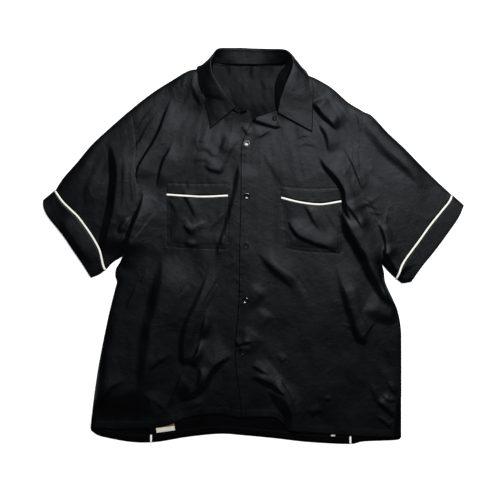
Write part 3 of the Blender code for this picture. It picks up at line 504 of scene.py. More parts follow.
# name: height, width of the steep face, length of the easy back, shares of
# the run over which it rises and dies away, then x, y of each point along the
# middle of the steep face, which looks to the right of the way they run
FOLDS = {
    # left shoulder, chest and sleeve
    "shoulder_left": (2.3, 5.5, 30, 0.35, 0.2,
        -153, 301, -165, 278, -176, 253, -186, 225, -200, 198, -214, 176,
        -223, 159, -227, 139, -223, 116),
    "shoulder_thin": (0.55, 3.5, 10, 0.4, 0.4,
        -176, 278, -204, 239, -225, 206, -249, 176),
    "shoulder_thin_2": (0.45, 3.5, 10, 0.4, 0.4,
        -188, 278, -215, 247, -233, 219),
    "pocket_corner_left": (2.6, 6, 22, 0.45, 0.3,
        -153, 212, -165, 186, -176, 163, -184, 137, -188, 112),
    "armpit_left": (5.2, 12.5, 26, 0.5, 0.15,
        -214, 120, -217, 97, -225, 71, -235, 50, -241, 28, -247, 7, -258, -13,
        -272, -32),
    "armpit_hook_left": (1.7, 8, 12, 0.3, 0.3,
        -239, 58, -253, 50, -260, 36, -262, 24),
    "armpit_drag_left": (0.7, 5, 14, 0.35, 0.35,
        -176, 93, -186, 71, -206, 48, -227, 20, -253, -15),
    "sleeve_valley_left": (6.4, 18, 70, 0.2, 0.2,
        -282, 204, -276, 173, -274, 139, -276, 106, -280, 75, -288, 42,
        -295, 9, -299, -22),
    "sleeve_streak_left": (0.5, 6, 14, 0.4, 0.4,
        -237, 184, -239, 130, -235, 71),
    "sleeve_streak_left_2": (0.5, 6, 14, 0.4, 0.4,
        -253, 188, -254, 120, -258, 63),
    "sleeve_soft_left": (0.9, 14, 30, 0.4, 0.4,
        -307, 153, -325, 114, -332, 75),
    "cuff_left": (1.8, 13, 24, 0.3, 0.3,
        -385, 58, -362, 22, -338, -11, -317, -42),
    "chest_patch_left": (1.5, 11, 24, 0.4, 0.4,
        -54, 227, -59, 204, -69, 180),
    "squiggle_1": (0.5, 5, 8, 0.4, 0.4,
        -120, 196, -106, 204, -91, 202),
    "squiggle_2": (0.6, 6, 8, 0.3, 0.4,
        -110, 182, -93, 188, -77, 175, -59, 182),
    "squiggle_3": (0.6, 7, 10, 0.3, 0.4,
        -124, 163, -98, 167, -77, 157, -58, 167),
    "squiggle_spot": (2, 9, 14, 0.35, 0.2,
        -98, 157, -81, 147, -58, 141),
    "chest_band_left": (0.7, 9, 18, 0.4, 0.3,
        -59, 145, -50, 175, -36, 196, -20, 215),
    "lap_pull": (0.9, 5, 8, 0.4, 0.3,
        -26, 235, -17, 225, -11, 212),
    "neck_edge_left": (2.8, 5, 9, 0.3, 0.3,
        -48, 268, -30, 262, -17, 262, -3, 272),
    "collar_side_left": (1.8, 10, 22, 0.4, 0.5,
        -124, 321, -114, 293, -98, 266),
    # left pocket
    "pocket_drag": (1.2, 4.5, 12, 0.35, 0.4,
        -139, 116, -134, 98, -124, 79, -116, 61, -110, 48),
    "pocket_pair": (0.7, 3.5, 5, 0.35, 0.4,
        -58, 69, -73, 54, -89, 36),
    "pocket_zigzag": (0.5, 6, 9, 0.3, 0.4,
        -83, 56, -102, 46, -120, 40, -132, 54, -149, 56),
    "pocket_pit": (1.6, 6, 9, 0.4, 0.4,
        -139, 42, -128, 30, -118, 19),
    "pocket_foot_pit": (1.7, 5, 8, 0.4, 0.4,
        -137, 9, -124, 1, -106, 1),
    "pocket_corner_pull": (0.5, 5, 9, 0.4, 0.4,
        -169, 93, -159, 77, -151, 61),
    # left body and hem
    "long_left_top": (2.6, 11, 26, 0.15, 0.3,
        -30, 167, -32, 139, -36, 114, -44, 85, -52, 56, -59, 28, -67, 3,
        -77, -30),
    "long_left": (3.6, 13, 24, 0.5, 0.07,
        -83, -26, -93, -59, -106, -95, -122, -128, -136, -159, -141, -186,
        -141, -210, -136, -233),
    "long_left_nose": (3.4, 8, 10, 0.5, 0.15,
        -102, -175, -108, -194, -116, -214, -128, -227),
    "oval_left": (3, 10, 12, 0.65, 0.4,
        -83, -108, -95, -136, -102, -159, -112, -186),
    "light_left": (0.5, 4.5, 8, 0.3, 0.4,
        -102, -128, -93, -104, -79, -79, -67, -54, -58, -22),
    "light_left_2": (0.3, 4, 6, 0.4, 0.4,
        -93, -128, -85, -108, -71, -83, -61, -58),
    "light_left_3": (0.5, 6, 9, 0.4, 0.4,
        -126, -198, -118, -167, -110, -139),
    "belly_left": (0.6, 5, 9, 0.4, 0.4,
        -124, -71, -137, -89, -149, -106),
    "side_left": (4.2, 24, 50, 0.25, 0.2,
        -176, -11, -186, -61, -196, -104, -208, -153, -214, -192, -219, -241,
        -227, -293),
    "side_thin_left": (0.9, 4, 12, 0.35, 0.4,
        -225, -65, -233, -83, -241, -104, -249, -126),
    "side_thin_left_2": (0.5, 4, 10, 0.4, 0.4,
        -208, -42, -223, -73),
    "spot_left": (1.9, 6.5, 12, 0.4, 0.5,
        -106, -233, -106, -253, -114, -276),
    "hem_sweep_left": (4.8, 14, 30, 0.25, 0.3,
        -151, -303, -124, -295, -104, -282, -89, -262, -77, -243, -61, -225,
        -36, -212),
    "hem_crease_left": (0.8, 5, 8, 0.4, 0.4,
        -128, -319, -108, -309, -91, -301),
    "low_curl_left": (1.2, 6, 14, 0.35, 0.4,
        -200, -243, -188, -231, -176, -221, -163, -214),
    "hem_thin_left": (1.4, 4.5, 10, 0.35, 0.4,
        -136, -245, -149, -268, -159, -290, -171, -319),
    "hem_wedge_left": (3.2, 13, 46, 0.35, 0.45,
        -319, -331, -303, -307, -286, -286, -266, -270, -243, -260),
    "hem_corner_left": (5, 62, 110, 0.3, 0.3,
        -331, -319, -290, -311, -241, -307, -186, -315),
    "corner_left": (1.1, 6, 12, 0.35, 0.4,
        -217, -286, -206, -299, -206, -313, -215, -329),
    "corner_left_2": (0.6, 5, 9, 0.4, 0.4,
        -202, -293, -188, -307, -169, -325),
    # right shoulder, chest and sleeve
    "lapel_crease": (3.2, 5, 14, 0.12, 0.25,
        -3, 245, 9, 241, 24, 235, 40, 231, 56, 233),
    "lapel_crease_low": (0.8, 4, 8, 0.35, 0.4,
        3, 210, 20, 217, 38, 229),
    "lapel_light": (0.5, 4, 7, 0.35, 0.4,
        48, 231, 24, 225, 5, 215, -9, 208),
    "collar_wedge_right": (4.4, 10, 26, 0.22, 0.3,
        112, 283, 122, 268, 134, 253, 147, 240, 163, 222),
    "collar_drop_right": (2.6, 9, 20, 0.3, 0.35,
        124, 241, 136, 221, 143, 200, 145, 178),
    "shoulder_streak": (0.8, 6, 14, 0.4, 0.4,
        134, 305, 157, 270, 178, 227, 192, 194),
    "shoulder_streak_2": (0.6, 5, 12, 0.4, 0.4,
        155, 292, 182, 251, 196, 215),
    "shoulder_tick": (0.9, 5, 9, 0.4, 0.4,
        192, 268, 204, 245, 202, 219),
    "chest_ripple": (0.4, 4, 7, 0.4, 0.4,
        77, 206, 100, 215, 120, 208),
    "chest_ripple_2": (0.5, 5, 8, 0.4, 0.4,
        83, 190, 102, 198, 126, 190),
    "chest_soft_right": (0.8, 12, 22, 0.4, 0.4,
        15, 188, 36, 149, 61, 112),
    "chest_right": (5, 11, 28, 0.28, 0.25,
        124, 180, 137, 157, 151, 139, 165, 122, 173, 106, 176, 87, 180, 67,
        192, 42),
    "chest_right_2": (2.5, 8, 18, 0.35, 0.4,
        176, 89, 192, 65, 204, 46, 217, 24),
    "armhole_streak": (1.3, 4.5, 14, 0.35, 0.4,
        182, 180, 194, 153, 204, 130, 214, 102),
    "armhole_streak_2": (0.5, 4, 10, 0.4, 0.4,
        167, 212, 180, 184, 190, 157, 200, 130),
    "armhole_wave": (0.5, 3.5, 6, 0.35, 0.4,
        210, 85, 225, 79, 247, 67),
    "armhole_wave_2": (0.5, 3.5, 6, 0.35, 0.4,
        202, 98, 219, 91, 237, 79),
    "armhole_wave_3": (0.4, 3.5, 6, 0.35, 0.4,
        214, 73, 229, 65, 251, 59),
    "armhole_line": (2.8, 8, 14, 0.3, 0.35,
        239, 52, 249, 30, 254, 11, 253, -11, 245, -38),
    "armhole_flap": (0.9, 5, 9, 0.4, 0.4,
        264, 69, 253, 56, 247, 38),
    "sleeve_foot_right": (4.2, 11, 18, 0.3, 0.12,
        247, -1, 258, -20, 270, -40, 280, -59),
    "sleeve_right": (3.2, 20, 34, 0.25, 0.35,
        210, 254, 221, 227, 239, 202, 260, 180, 286, 159, 309, 136, 329, 104),
    # right pocket
    "pocket_right": (2.8, 6.5, 22, 0.22, 0.25,
        67, 52, 75, 36, 85, 22, 100, 13, 120, 3, 141, -3, 167, -15),
    "pocket_slant_right": (1.7, 7.5, 16, 0.35, 0.45,
        93, 85, 104, 69, 114, 50, 132, 24),
    "pocket_fine": (0.4, 4, 8, 0.4, 0.4,
        134, 79, 149, 52, 165, 20),
    "pocket_fine_2": (0.4, 4, 8, 0.4, 0.4,
        112, 77, 128, 50, 145, 19),
    # right body and hem
    "centre_right": (2.5, 13, 24, 0.4, 0.4,
        3, -7, 19, -28, 34, -44, 52, -59, 67, -75, 81, -89),
    "centre_light": (0.9, 8, 14, 0.35, 0.3,
        110, -120, 97, -89, 83, -65, 58, -46, 38, -28, 30, -1),
    "facet": (1.5, 20, 30, 0.4, 0.4,
        30, -97, 11, -81, -7, -71),
    "facet_2": (1.3, 17, 26, 0.4, 0.4,
        42, -141, 22, -128, 5, -120),
    "facet_3": (1.9, 26, 34, 0.4, 0.4,
        24, -184, 1, -167, -24, -155),
    "long_right": (7.6, 21, 32, 0.25, 0.14,
        167, 83, 173, 54, 182, 28, 196, 5, 210, -22, 223, -50, 239, -75,
        253, -98, 268, -122),
    "side_nose_right": (3.2, 24, 52, 0.35, 0.2,
        210, -122, 243, -139, 280, -147),
    "side_facet_right": (0.8, 12, 16, 0.4, 0.4,
        214, -106, 200, -87, 190, -67),
    "hook_right": (4.2, 17, 24, 0.55, 0.12,
        155, -22, 165, -59, 175, -95, 186, -132, 196, -163, 208, -186,
        223, -190),
    "hook_light": (0.5, 5, 8, 0.35, 0.4,
        231, -175, 219, -149, 208, -126, 198, -106),
    "button_low": (3.8, 11, 18, 0.3, 0.4,
        -3, -254, 17, -264, 34, -272, 52, -284, 67, -292),
    "button_low_2": (1.5, 6, 12, 0.35, 0.4,
        -5, -231, 15, -243, 32, -251),
    "button_low_3": (6, 18, 22, 0.3, 0.05,
        24, -282, 42, -295, 56, -311, 65, -332, 69, -354, 71, -373),
    "last_light": (0.9, 6, 12, 0.3, 0.35,
        87, -354, 79, -323, 73, -297, 63, -272, 48, -249, 32, -229, 15, -210),
    "last_light_2": (0.4, 4, 7, 0.4, 0.4,
        77, -340, 71, -309, 59, -282, 42, -256),
    "button_drag": (1.7, 4.5, 8, 0.15, 0.5,
        -34, -196, -19, -190, 1, -184),
    "button_drag_2": (1.3, 4, 7, 0.15, 0.5,
        -32, -202, -5, -204),
    "curl_right": (0.8, 5, 12, 0.4, 0.4,
        52, -229, 59, -223, 67, -212),
    "low_spot_right": (1, 6, 12, 0.4, 0.4,
        136, -295, 145, -299, 155, -295),
    "low_spot_right_2": (1.5, 6, 12, 0.4, 0.4,
        112, -332, 122, -323, 136, -321),
    "vent_pucker": (1.6, 4.5, 8, 0.4, 0.4,
        260, -262, 268, -280, 280, -293),
    "vent_pucker_2": (2.8, 9, 16, 0.3, 0.3,
        237, -299, 253, -313, 266, -325, 282, -336),
    "vent_pucker_3": (1.3, 4.5, 7, 0.4, 0.4,
        237, -331, 254, -344, 272, -360),
    "vent_pucker_4": (1.3, 4.5, 7, 0.4, 0.4,
        247, -286, 264, -301, 284, -299),
    "vent_pucker_5": (1, 4.5, 7, 0.4, 0.4,
        227, -266, 231, -284, 239, -307),
}
# name: x, y, radius along x, radius along y, height
SWELLS = {
    "chest_left": (-110, 180, 95, 90, 1.5),
    "chest_right": (95, 170, 90, 110, 1.6),
    "waist_left": (-150, -90, 90, 120, 1.4),
    "waist_right": (130, -120, 110, 120, 1.6),
    "hem_centre": (30, -280, 120, 70, 1.4),
    "sleeve_left": (-320, 90, 60, 90, 1.4),
    "sleeve_right": (300, 80, 60, 90, 1.4),
}
shoulder = {
    "left": line(((-79, 356), (-95, 350), (-110, 345), (-128, 341),
                  (-159, 323), (-190, 304), (-221, 281), (-239, 266))),
    "right": line(((65, 354), (87, 344), (106, 333), (122, 326),
                   (153, 308), (184, 281), (215, 262))),
}
pipe = {
    "left": line(((-387, 109), (-372, 88), (-355, 71), (-340, 56),
                  (-317, 24), (-301, -4), (-296, -22), (-293, -36),
                  (-289, -46))),
    "right": line(((387, 100), (381, 87), (368, 71), (343, 40), (321, 9),
                   (298, -22), (288, -38), (283, -52), (278, -63))),
}
# the way down each sleeve, from the piping to the cuff
DOWN_SLEEVE = {"left": (-0.84, -0.54), "right": (0.84, -0.54)}
# x, y, radius, extra: where the cloth was handled most
BUSY = ((-80, 175, 60, 0.7), (-110, 50, 55, 0.6), (215, 120, 50, 0.8),
        (-245, 40, 40, 0.8), (280, -310, 45, 0.9), (-130, -300, 70, 0.5),
        (20, -190, 60, 0.5))


def beside_pipe(side, k):
    """The piping line moved half a seam towards the cuff (1) or back (-1)."""
    return pipe[side] + k * SEAM / 2 * np.array(DOWN_SLEEVE[side])


sleeve_top = {
    "left": line(((-239, 266), (-249, 258), (-284, 227), (-315, 198),
                  (-346, 161), (-370, 134), tuple(beside_pipe("left", -1)[0]))),
    "right": line(((215, 262), (231, 254), (262, 221), (293, 192),
                   (325, 159), (356, 128),
                   tuple(beside_pipe("right", -1)[0]))),
}
sleeve_foot = {
    "left": line(((-255, -19), (-274, -31),
                  tuple(beside_pipe("left", -1)[-1]))),
    "right": line(((250, -34), (262, -48),
                   tuple(beside_pipe("right", -1)[-1]))),
}
cuff_top = {"left": line((tuple(beside_pipe("left", 1)[0]), (-410, 90))),
            "right": line((tuple(beside_pipe("right", 1)[0]), (410, 80)))}
cuff_foot = {"left": line(((-317, -61), (-305, -57),
                           tuple(beside_pipe("left", 1)[-1]))),
             "right": line(((307, -69), (297, -73),
                            tuple(beside_pipe("right", 1)[-1])))}
PRESSED = [group[s][::3] for s in ("left", "right")
           for group in (shoulder, sleeve_top, sleeve_foot, side_seam,
                         cuff_top, cuff_foot)]


def fold(p, height, steep, back, start, end, *points):
    """A step in the cloth: a steep face, then a long easy back. It narrows
    and dies away towards both ends."""
    path = line(np.reshape(points, (-1, 2)), 48)
    reach = steep + 2.4 * back
    close = np.all((p > path.min(0) - reach) & (p < path.max(0) + reach), 1)
    rise = np.zeros(len(p))
    if not close.any():
        return rise
    dist, side, run = distance(p[close], path)
    fade = smooth(run / start) * smooth((1 - run) / end)
    face = steep * (0.35 + 0.65 * fade)
    t = dist * side / face + 0.5
    ease = np.exp(-(np.clip(t - 1, 0, None) * face / back) ** 2)
    rise[close] = height * fade * smooth(t) * ease
    return rise


def noise_at(x, y, z, scale):
    """Perlin noise at plan points, one bump about every scale mm."""
    k = 1 / scale
    return np.array([noise.noise((a * k, b * k, z)) for a, b in zip(x, y)])


FAN_TOP = 620                # y of the point that the drag lines fan from, mm
FAN_RADIUS = 560             # where their spacing is true, mm


def ripples(p):
    """What handling leaves: soft dents, thin squiggles where they meet, and
    faint drag lines that fan out from the neck towards the hem."""
    x, y = p[:, 0], p[:, 1]
    bend = noise_at(x, y, 5.0, 110) * 16
    turn = np.arctan2(x, FAN_TOP - y) * FAN_RADIUS + bend
    away = np.hypot(x, FAN_TOP - y)
    busy = 0.75 + 0.7 * noise_at(x, y, 9.4, 120)
    for cx, cy, r, extra in BUSY:
        busy += extra * np.exp(-((x - cx) ** 2 + (y - cy) ** 2) / r ** 2)
    dents = 1.15 * noise_at(x + bend, y * 0.75 + bend, 1.3, 62)
    dents += 0.65 * noise_at(turn, away * 0.5, 3.1, 25)
    dents += 0.2 * noise_at(turn, away * 0.6 + bend, 6.2, 11)
    meet = noise_at(x * 1.3 + bend, y - 1.5 * bend, 7.7, 44)
    broken = smooth(2.5 * noise_at(x, y, 2.2, 40))
    squiggle = 0.3 * broken * np.clip(1 - 4 * np.abs(meet), 0, None) ** 2
    drag = (0.36 * noise_at(turn, away * 0.12, 8.2, 17)
            + 0.13 * noise_at(turn, away * 0.12, 2.7, 8))
    return busy * (dents + squiggle) + drag * (0.7 + noise_at(x, y, 4.4, 70))


sewn = {"armhole_" + s: armhole[s] for s in armhole}


def puckers(p):
    """A seam or a row of stitches sinks in, and the cloth on both sides of
    it is drawn into small uneven waves."""
    out = np.zeros(len(p))
    for k, (name, pts) in enumerate(sewn.items()):
        near = np.all((p > pts.min(0) - 14) & (p < pts.max(0) + 14), 1)
        if not near.any():
            continue
        dist, _, run = distance(p[near], pts[::3])
        wave = noise_at(run * length(pts), dist * 0.5, 3.7 + k, 7)
        drawn, sunk = (0.28, 0.3) if "pocket" in name else (0.22, 0.14)
        out[near] += (drawn * wave * np.exp(-(dist / 6) ** 2)
                      - sunk * np.exp(-(dist / 1.3) ** 2))
    return out


def nearest(p, lines):
    """Plan distance to the nearest of the lines."""
    return np.min([distance(p, pts)[0] for pts in lines], axis=0)


def upper_height(p, rise=BEND):
    """Middle of the upper layer; rise is its height above the under layer
    along a pressed edge."""
    lift = 1 - np.exp(-nearest(p, PRESSED) / EASE)
    high = LOFT + ripples(p) + puckers(p)
    # the lines of the folds waver by up to 2.4 mm
    wave = np.stack([noise_at(p[:, 0], p[:, 1], k, 38) for k in (0.4, 6.6)], 1)
    wavy = p + 2.4 * wave
    for values in FOLDS.values():
        high += fold(wavy, *values)
    for x, y, rx, ry, h in SWELLS.values():
        high += h * np.exp(-((p[:, 0] - x) / rx) ** 2
                           - ((p[:, 1] - y) / ry) ** 2)
    return under_height(p) + rise + (high - rise) * lift


# ---- Yoke: one piece over both shoulders -----------------------------------
# It starts at the seam across the back, turns over each shoulder and ends
# at a seam on the front. The pressed shoulder folds are the shirt's outline.
rayon_yoke = black_rayon("black_rayon_yoke")
yoke_seam = {
    "left": line(((-77, 340), (-114, 329), (-159, 307), (-202, 282),
                  (-237, 256))),
    "right": line(((54, 340), (91, 327), (116, 316), (145, 303),
                   (178, 276), (213, 251))),
}
neck_front = {
    "left": line(((-79, 356), (-77, 334), (-66, 309), (-52, 286),
                  (-40, 270), (-24, 260), (-8, 267))),
    "right": line(((65, 354), (50, 336), (42, 313), (42, 286), (46, 264))),
}
DIMPLES = (-52, -12, 28)     # x of the three dimples under the neck seam
neck_back = line(((-79, 356), (-56, 353), (1, 352), (46, 353), (65, 354)))
CREST = 70                   # mesh steps along a shoulder
bm = bmesh.new()
hole_front = {}
for side in ("left", "right"):
    high, hole_front[side] = cut(armhole[side], 1, yoke_seam[side][-1][1])
    neck, _ = cut(neck_front[side], 1, yoke_seam[side][0][1])
    outer, inner = resample(high[::-1], 8), resample(neck[::-1], 8)
    seam, crest = (resample(x[side], CREST) for x in (yoke_seam, shoulder))
    if side == "left":
        panel(bm, seam[::-1], inner, crest[::-1], outer, upper_height)
    else:
        panel(bm, seam, outer, crest, inner, upper_height)
top = np.vstack([resample(shoulder["left"], CREST)[::-1],
                 resample(neck_back, 50)[1:],
                 resample(shoulder["right"], CREST)[1:]])
rise = {s: resample(cut(armhole[s], 1, YOKE_SEAM)[0][::-1], 45)
        for s in armhole}


def turned_up(p, folds):
    """An under layer: flat, but it turns up to its pressed folds."""
    return under_height(p) + BEND * np.exp(-(nearest(p, folds) / TURN) ** 2)


def yoke_under(p):
    """The neck seam draws the back of the yoke into gathers and dimples
    inside the collar."""
    x, y = p[:, 0], p[:, 1]
    inside = np.exp(-((x + 5) / 62) ** 4) * smooth((y - 225) / 40)
    gathers = 0.9 * noise_at(x, y * 0.22, 3.3, 13)
    gathers += 0.5 * noise_at(x + 0.3 * y, y * 0.5, 1.9, 9)
    for k in DIMPLES:
        gathers -= 1.7 * np.exp(-((x - k) / 6) ** 2 - ((y - 340) / 9) ** 2)
    return (turned_up(p, [shoulder[s][::3] for s in shoulder])
            + inside * gathers)


panel(bm, line([rise["left"][0], rise["right"][0]], 190), rise["right"], top,
      rise["left"], yoke_under, flip=True)
finish_cloth(bm, "yoke_cloth", ["yoke"], rayon_yoke, (0.454, 0.21), area=0.048,
             crisp=[*armhole.values(), *yoke_seam.values()])

# ---- Fronts: the left one under, the right one lapped over it --------------
# Each is one panel from the yoke seam to the hem with its facing turned
# under. They are shut with buttons, so the lap stands one layer higher.
rayon_front = black_rayon("black_rayon_front")
NU, NV = 148, 320            # mesh steps across and along a front
lap = {
    "left": line(((-8, 267), (-2, 243), (1, 198), (0, 13), (-3, -104),
                  (-9, -192), (-5, -260), (1, -335))),
    "right": line(((-13, 225), (-20, 208), (-24, 184), (-25, 91),
                   (-27, 13), (-29, -104), (-35, -182), (-34, -241),
                   (-28, -284), (-23, -332))),
}
collar_end = line(((46, 264), (32, 260), (17, 255), (1, 248), (-13, 225)))
front_hem = {
    "left": line(((-316, -354), (-251, -355), (-192, -352), (-163, -347),
                  (-134, -335), (-108, -329), (-65, -326), (-34, -332),
                  (1, -335))),
    "right": line(((-23, -332), (17, -332), (42, -333), (59, -346),
                   (79, -359), (149, -365), (217, -370), (274, -371))),
}
vent = line(((288, -292), (278, -307), (274, -371)))
# where the chest pockets are sewn on: mouth, piping and foot
pocket_rows = {
    "left": {"top": ((-169, 123), (-112, 121), (-50, 122)),
             "pipe": ((-169, 101), (-124, 98), (-95, 97), (-50, 99)),
             "foot": ((-168, 1), (-120, -3), (-49, -5))},
    "right": {"top": ((53, 116), (110, 112), (171, 114)),
              "pipe": ((54, 95), (91, 86), (130, 82), (171, 88)),
              "foot": ((64, -2), (91, -8), (130, -11), (172, -13))},
}
EDGE_ROW = 5                 # stitches at lap, vent and collar, mm inside
LAP_STITCH = lap["right"] + (EDGE_ROW, 0)
hem_row = {s: front_hem[s] + (0, HEM_ROW) for s in front_hem}
sewn.update({"lap": LAP_STITCH, "yoke_left": yoke_seam["left"],
             "yoke_right": yoke_seam["right"]})
for side, rows in pocket_rows.items():
    top, foot = line(rows["top"]), line(rows["foot"])
    sewn["pocket_" + side] = np.vstack([
        foot, line([foot[-1], top[-1]]), top[::-1], line([top[0], foot[0]])])


def front_left_height(p):
    return upper_height(p, LAYER) + turned_hem(p, front_hem["left"][::2], 0.12)


def front_right_height(p):
    """One layer higher until it is clear of the under lap."""
    dist, side, _ = distance(p, lap["left"][::4])
    past = np.where(side > 0, dist, 0)
    return (upper_height(p, LAYER) + 1.3 * smooth(1 - past / 45)
            + turned_hem(p, front_hem["right"][::2], 0.12))


side, _ = cut(side_seam["left"], 1, -354)
neck = cut(neck_front["left"], 1, 340)[1]
bm = panel(bmesh.new(), resample(front_hem["left"], NU),
           edge(NV, lap["left"][::-1], neck[::-1]),
           resample(yoke_seam["left"], NU)[::-1],
           edge(NV, side[::-1], hole_front["left"][::-1]), front_left_height)
finish_cloth(bm, "front_panel_left", ["front_left"], rayon_front,
             (0.335, 0.70), area=0.166, on=["back_panel_centre"],
             crisp=[armhole["left"], yoke_seam["left"]])
side, _ = cut(side_seam["right"], 1, -292)
neck = cut(neck_front["right"], 1, 340)[1]
bm = panel(bmesh.new(), resample(front_hem["right"], NU),
           edge(NV, vent[::-1], side[::-1], hole_front["right"][::-1]),
           resample(yoke_seam["right"], NU),
           edge(NV, lap["right"][::-1], collar_end[::-1], neck[::-1]),
           front_right_height)
finish_cloth(bm, "front_panel_right", ["front_right"], rayon_front,
             (0.345, 0.72), area=0.179, on=["back_panel_centre"],
             crisp=[armhole["right"], yoke_seam["right"]])

# ---- Sleeves: short, wide, laid flat with a pressed fold above and below ---
# Each is one piece sewn into the armhole, so it is a tube here: an upper
# and an under sheet that join along the two folds.
rayon_sleeve = black_rayon("black_rayon_sleeve")


def tube(bm, side, inner, outer, top, foot, around, along):
    """Upper and under sheets between two lines (inner, outer; both run from
    the top fold down) and two folds (top, foot; both run outwards), in mesh
    steps around and along the sleeve."""
    inner, outer = resample(inner, around), resample(outer, around)
    top, foot = resample(top, along), resample(foot, along)
    folds = [top[::2], foot[::2]]
    # bottom runs left to right, so the left side's lines are turned round
    if side == "left":
        edges = (foot[::-1], inner[::-1], top[::-1], outer[::-1])
    else:
        edges = (foot, outer[::-1], top, inner[::-1])
    panel(bm, *edges, upper_height)
    panel(bm, *edges, lambda p: turned_up(p, folds), flip=True)


for side in ("left", "right"):
    bm = bmesh.new()
    tube(bm, side, armhole[side], beside_pipe(side, -1), sleeve_top[side],
         sleeve_foot[side], around=110, along=78)
    finish_cloth(bm, "sleeve_cloth_" + side, ["sleeve_" + side],
                 rayon_sleeve, (0.60, 0.20), area=0.054, crisp=[armhole[side]])

# ---- Piping and cuffs ------------------------------------------------------
# The same cream cord runs round each sleeve, and below it a cuff band of
# the shirt's cloth, folded double, ends the sleeve.
cuff_edge = {
    "left": line(((-410, 90), (-409, 76), (-399, 56), (-373, 24),
                  (-352, -7), (-331, -38), (-317, -61))),
    "right": line(((410, 80), (399, 56), (377, 24), (354, -7), (329, -38),
                   (307, -69))),
}
DOUBLE = 1.1                 # thickness of cloth folded double, mm
RING = 74                    # mesh steps around half a sleeve's end
RING_BEAD = (1.9, 1.12)      # half width and half height of its cord, mm
for side in ("left", "right"):
    run = resample(pipe[side], RING)
    over = np.column_stack([run, upper_height(run) + 0.35])
    run = run[::-1][1:-1]
    beneath = np.column_stack([run, np.full(len(run), FLAT_CORD)])
    bm = bmesh.new()
    bead(bm, np.vstack([over, beneath]), *RING_BEAD, closed=True)
    finish_piece(bm, "sleeve_bead_" + side, ["sleeve_piping_" + side],
                 cotton)
    bm = bmesh.new()
    tube(bm, side, beside_pipe(side, 1), cuff_edge[side], cuff_top[side],
         cuff_foot[side], around=RING, along=11)
    finish_cloth(bm, "cuff_cloth_" + side, ["cuff_" + side], rayon_sleeve,
                 (0.40, 0.033), thick=DOUBLE, inside=rayon_sleeve)

# ---- Chest pockets ---------------------------------------------------------
# Each is a patch of the same cloth sewn on three sides with two rows of
# stitches, and a band folded double at its mouth, with a cream cord between.
rayon_pocket = black_rayon("black_rayon_pocket")
POCKET_OFF = 1.2             # a pocket's middle above the front's, mm
POCKET_STITCH = (1.6, 6.2)   # the two rows, mm inside the edge
POCKET_BEAD = (1.85, 1.2)    # half width and half height of its cord, mm
front_height = {"left": front_left_height, "right": front_right_height}


def on_pocket(side, extra=0.0):
    """The height of a pocket's cloth, and a little more, mm."""
    return lambda p: front_height[side](p) + POCKET_OFF + extra


def pocket_height(side, rim, bulge=1.1):
    """The front's height, one cloth up, a little fuller inside the rim and
    drawn in along the rows of stitches."""
    def height(p):
        near = distance(p, rim)[0]
        sunk = sum(0.3 * np.exp(-((near - k) / 1.1) ** 2)
                   for k in POCKET_STITCH)
        return (front_height[side](p) + POCKET_OFF - sunk
                + bulge * (1 - np.exp(-(near / 14) ** 2)))
    return height


for side in ("left", "right"):
    top, mid, foot = (line(pocket_rows[side][k], 56)
                      for k in ("top", "pipe", "foot"))
    above, below = mid + (0, SEAM / 2), mid - (0, SEAM / 2)
    sides = [line([foot[0], below[0]], 46), line([foot[-1], below[-1]], 46)]
    rim = np.vstack([below[:1], sides[0][::-6], foot[::4], sides[1][::6],
                     below[-1:]])
    sewn_on = {"crisp": [sewn["pocket_" + side]],
               "on": ["front_panel_" + side]}
    bm = panel(bmesh.new(), foot, sides[1], below, sides[0],
               pocket_height(side, rim))
    finish_cloth(bm, "pocket_patch_" + side, ["pocket_" + side],
                 rayon_pocket, (0.116, 0.098), **sewn_on)
    bm = panel(bmesh.new(), above, line([above[-1], top[-1]], 8), top,
               line([above[0], top[0]], 8), pocket_height(side, rim, 0.4))
    finish_cloth(bm, "pocket_mouth_" + side, ["pocket_band_" + side],
                 rayon_pocket, (0.119, 0.0225), thick=DOUBLE, **sewn_on)
    bm = bmesh.new()
    bead(bm, np.column_stack([mid, on_pocket(side, 0.2)(mid)]), *POCKET_BEAD)
    finish_piece(bm, "pocket_bead_" + side, ["pocket_piping_" + side],
                 cotton)

# ---- Collar ----------------------------------------------------------------
# An open camp collar of two layers with a stiffener between: it stands up
# from the neck seam, rolls over and falls, with long points on the chest.
rayon_collar = black_rayon("black_rayon_collar")
COLLAR_WALL = 1.3            # both layers and the stiffener, mm
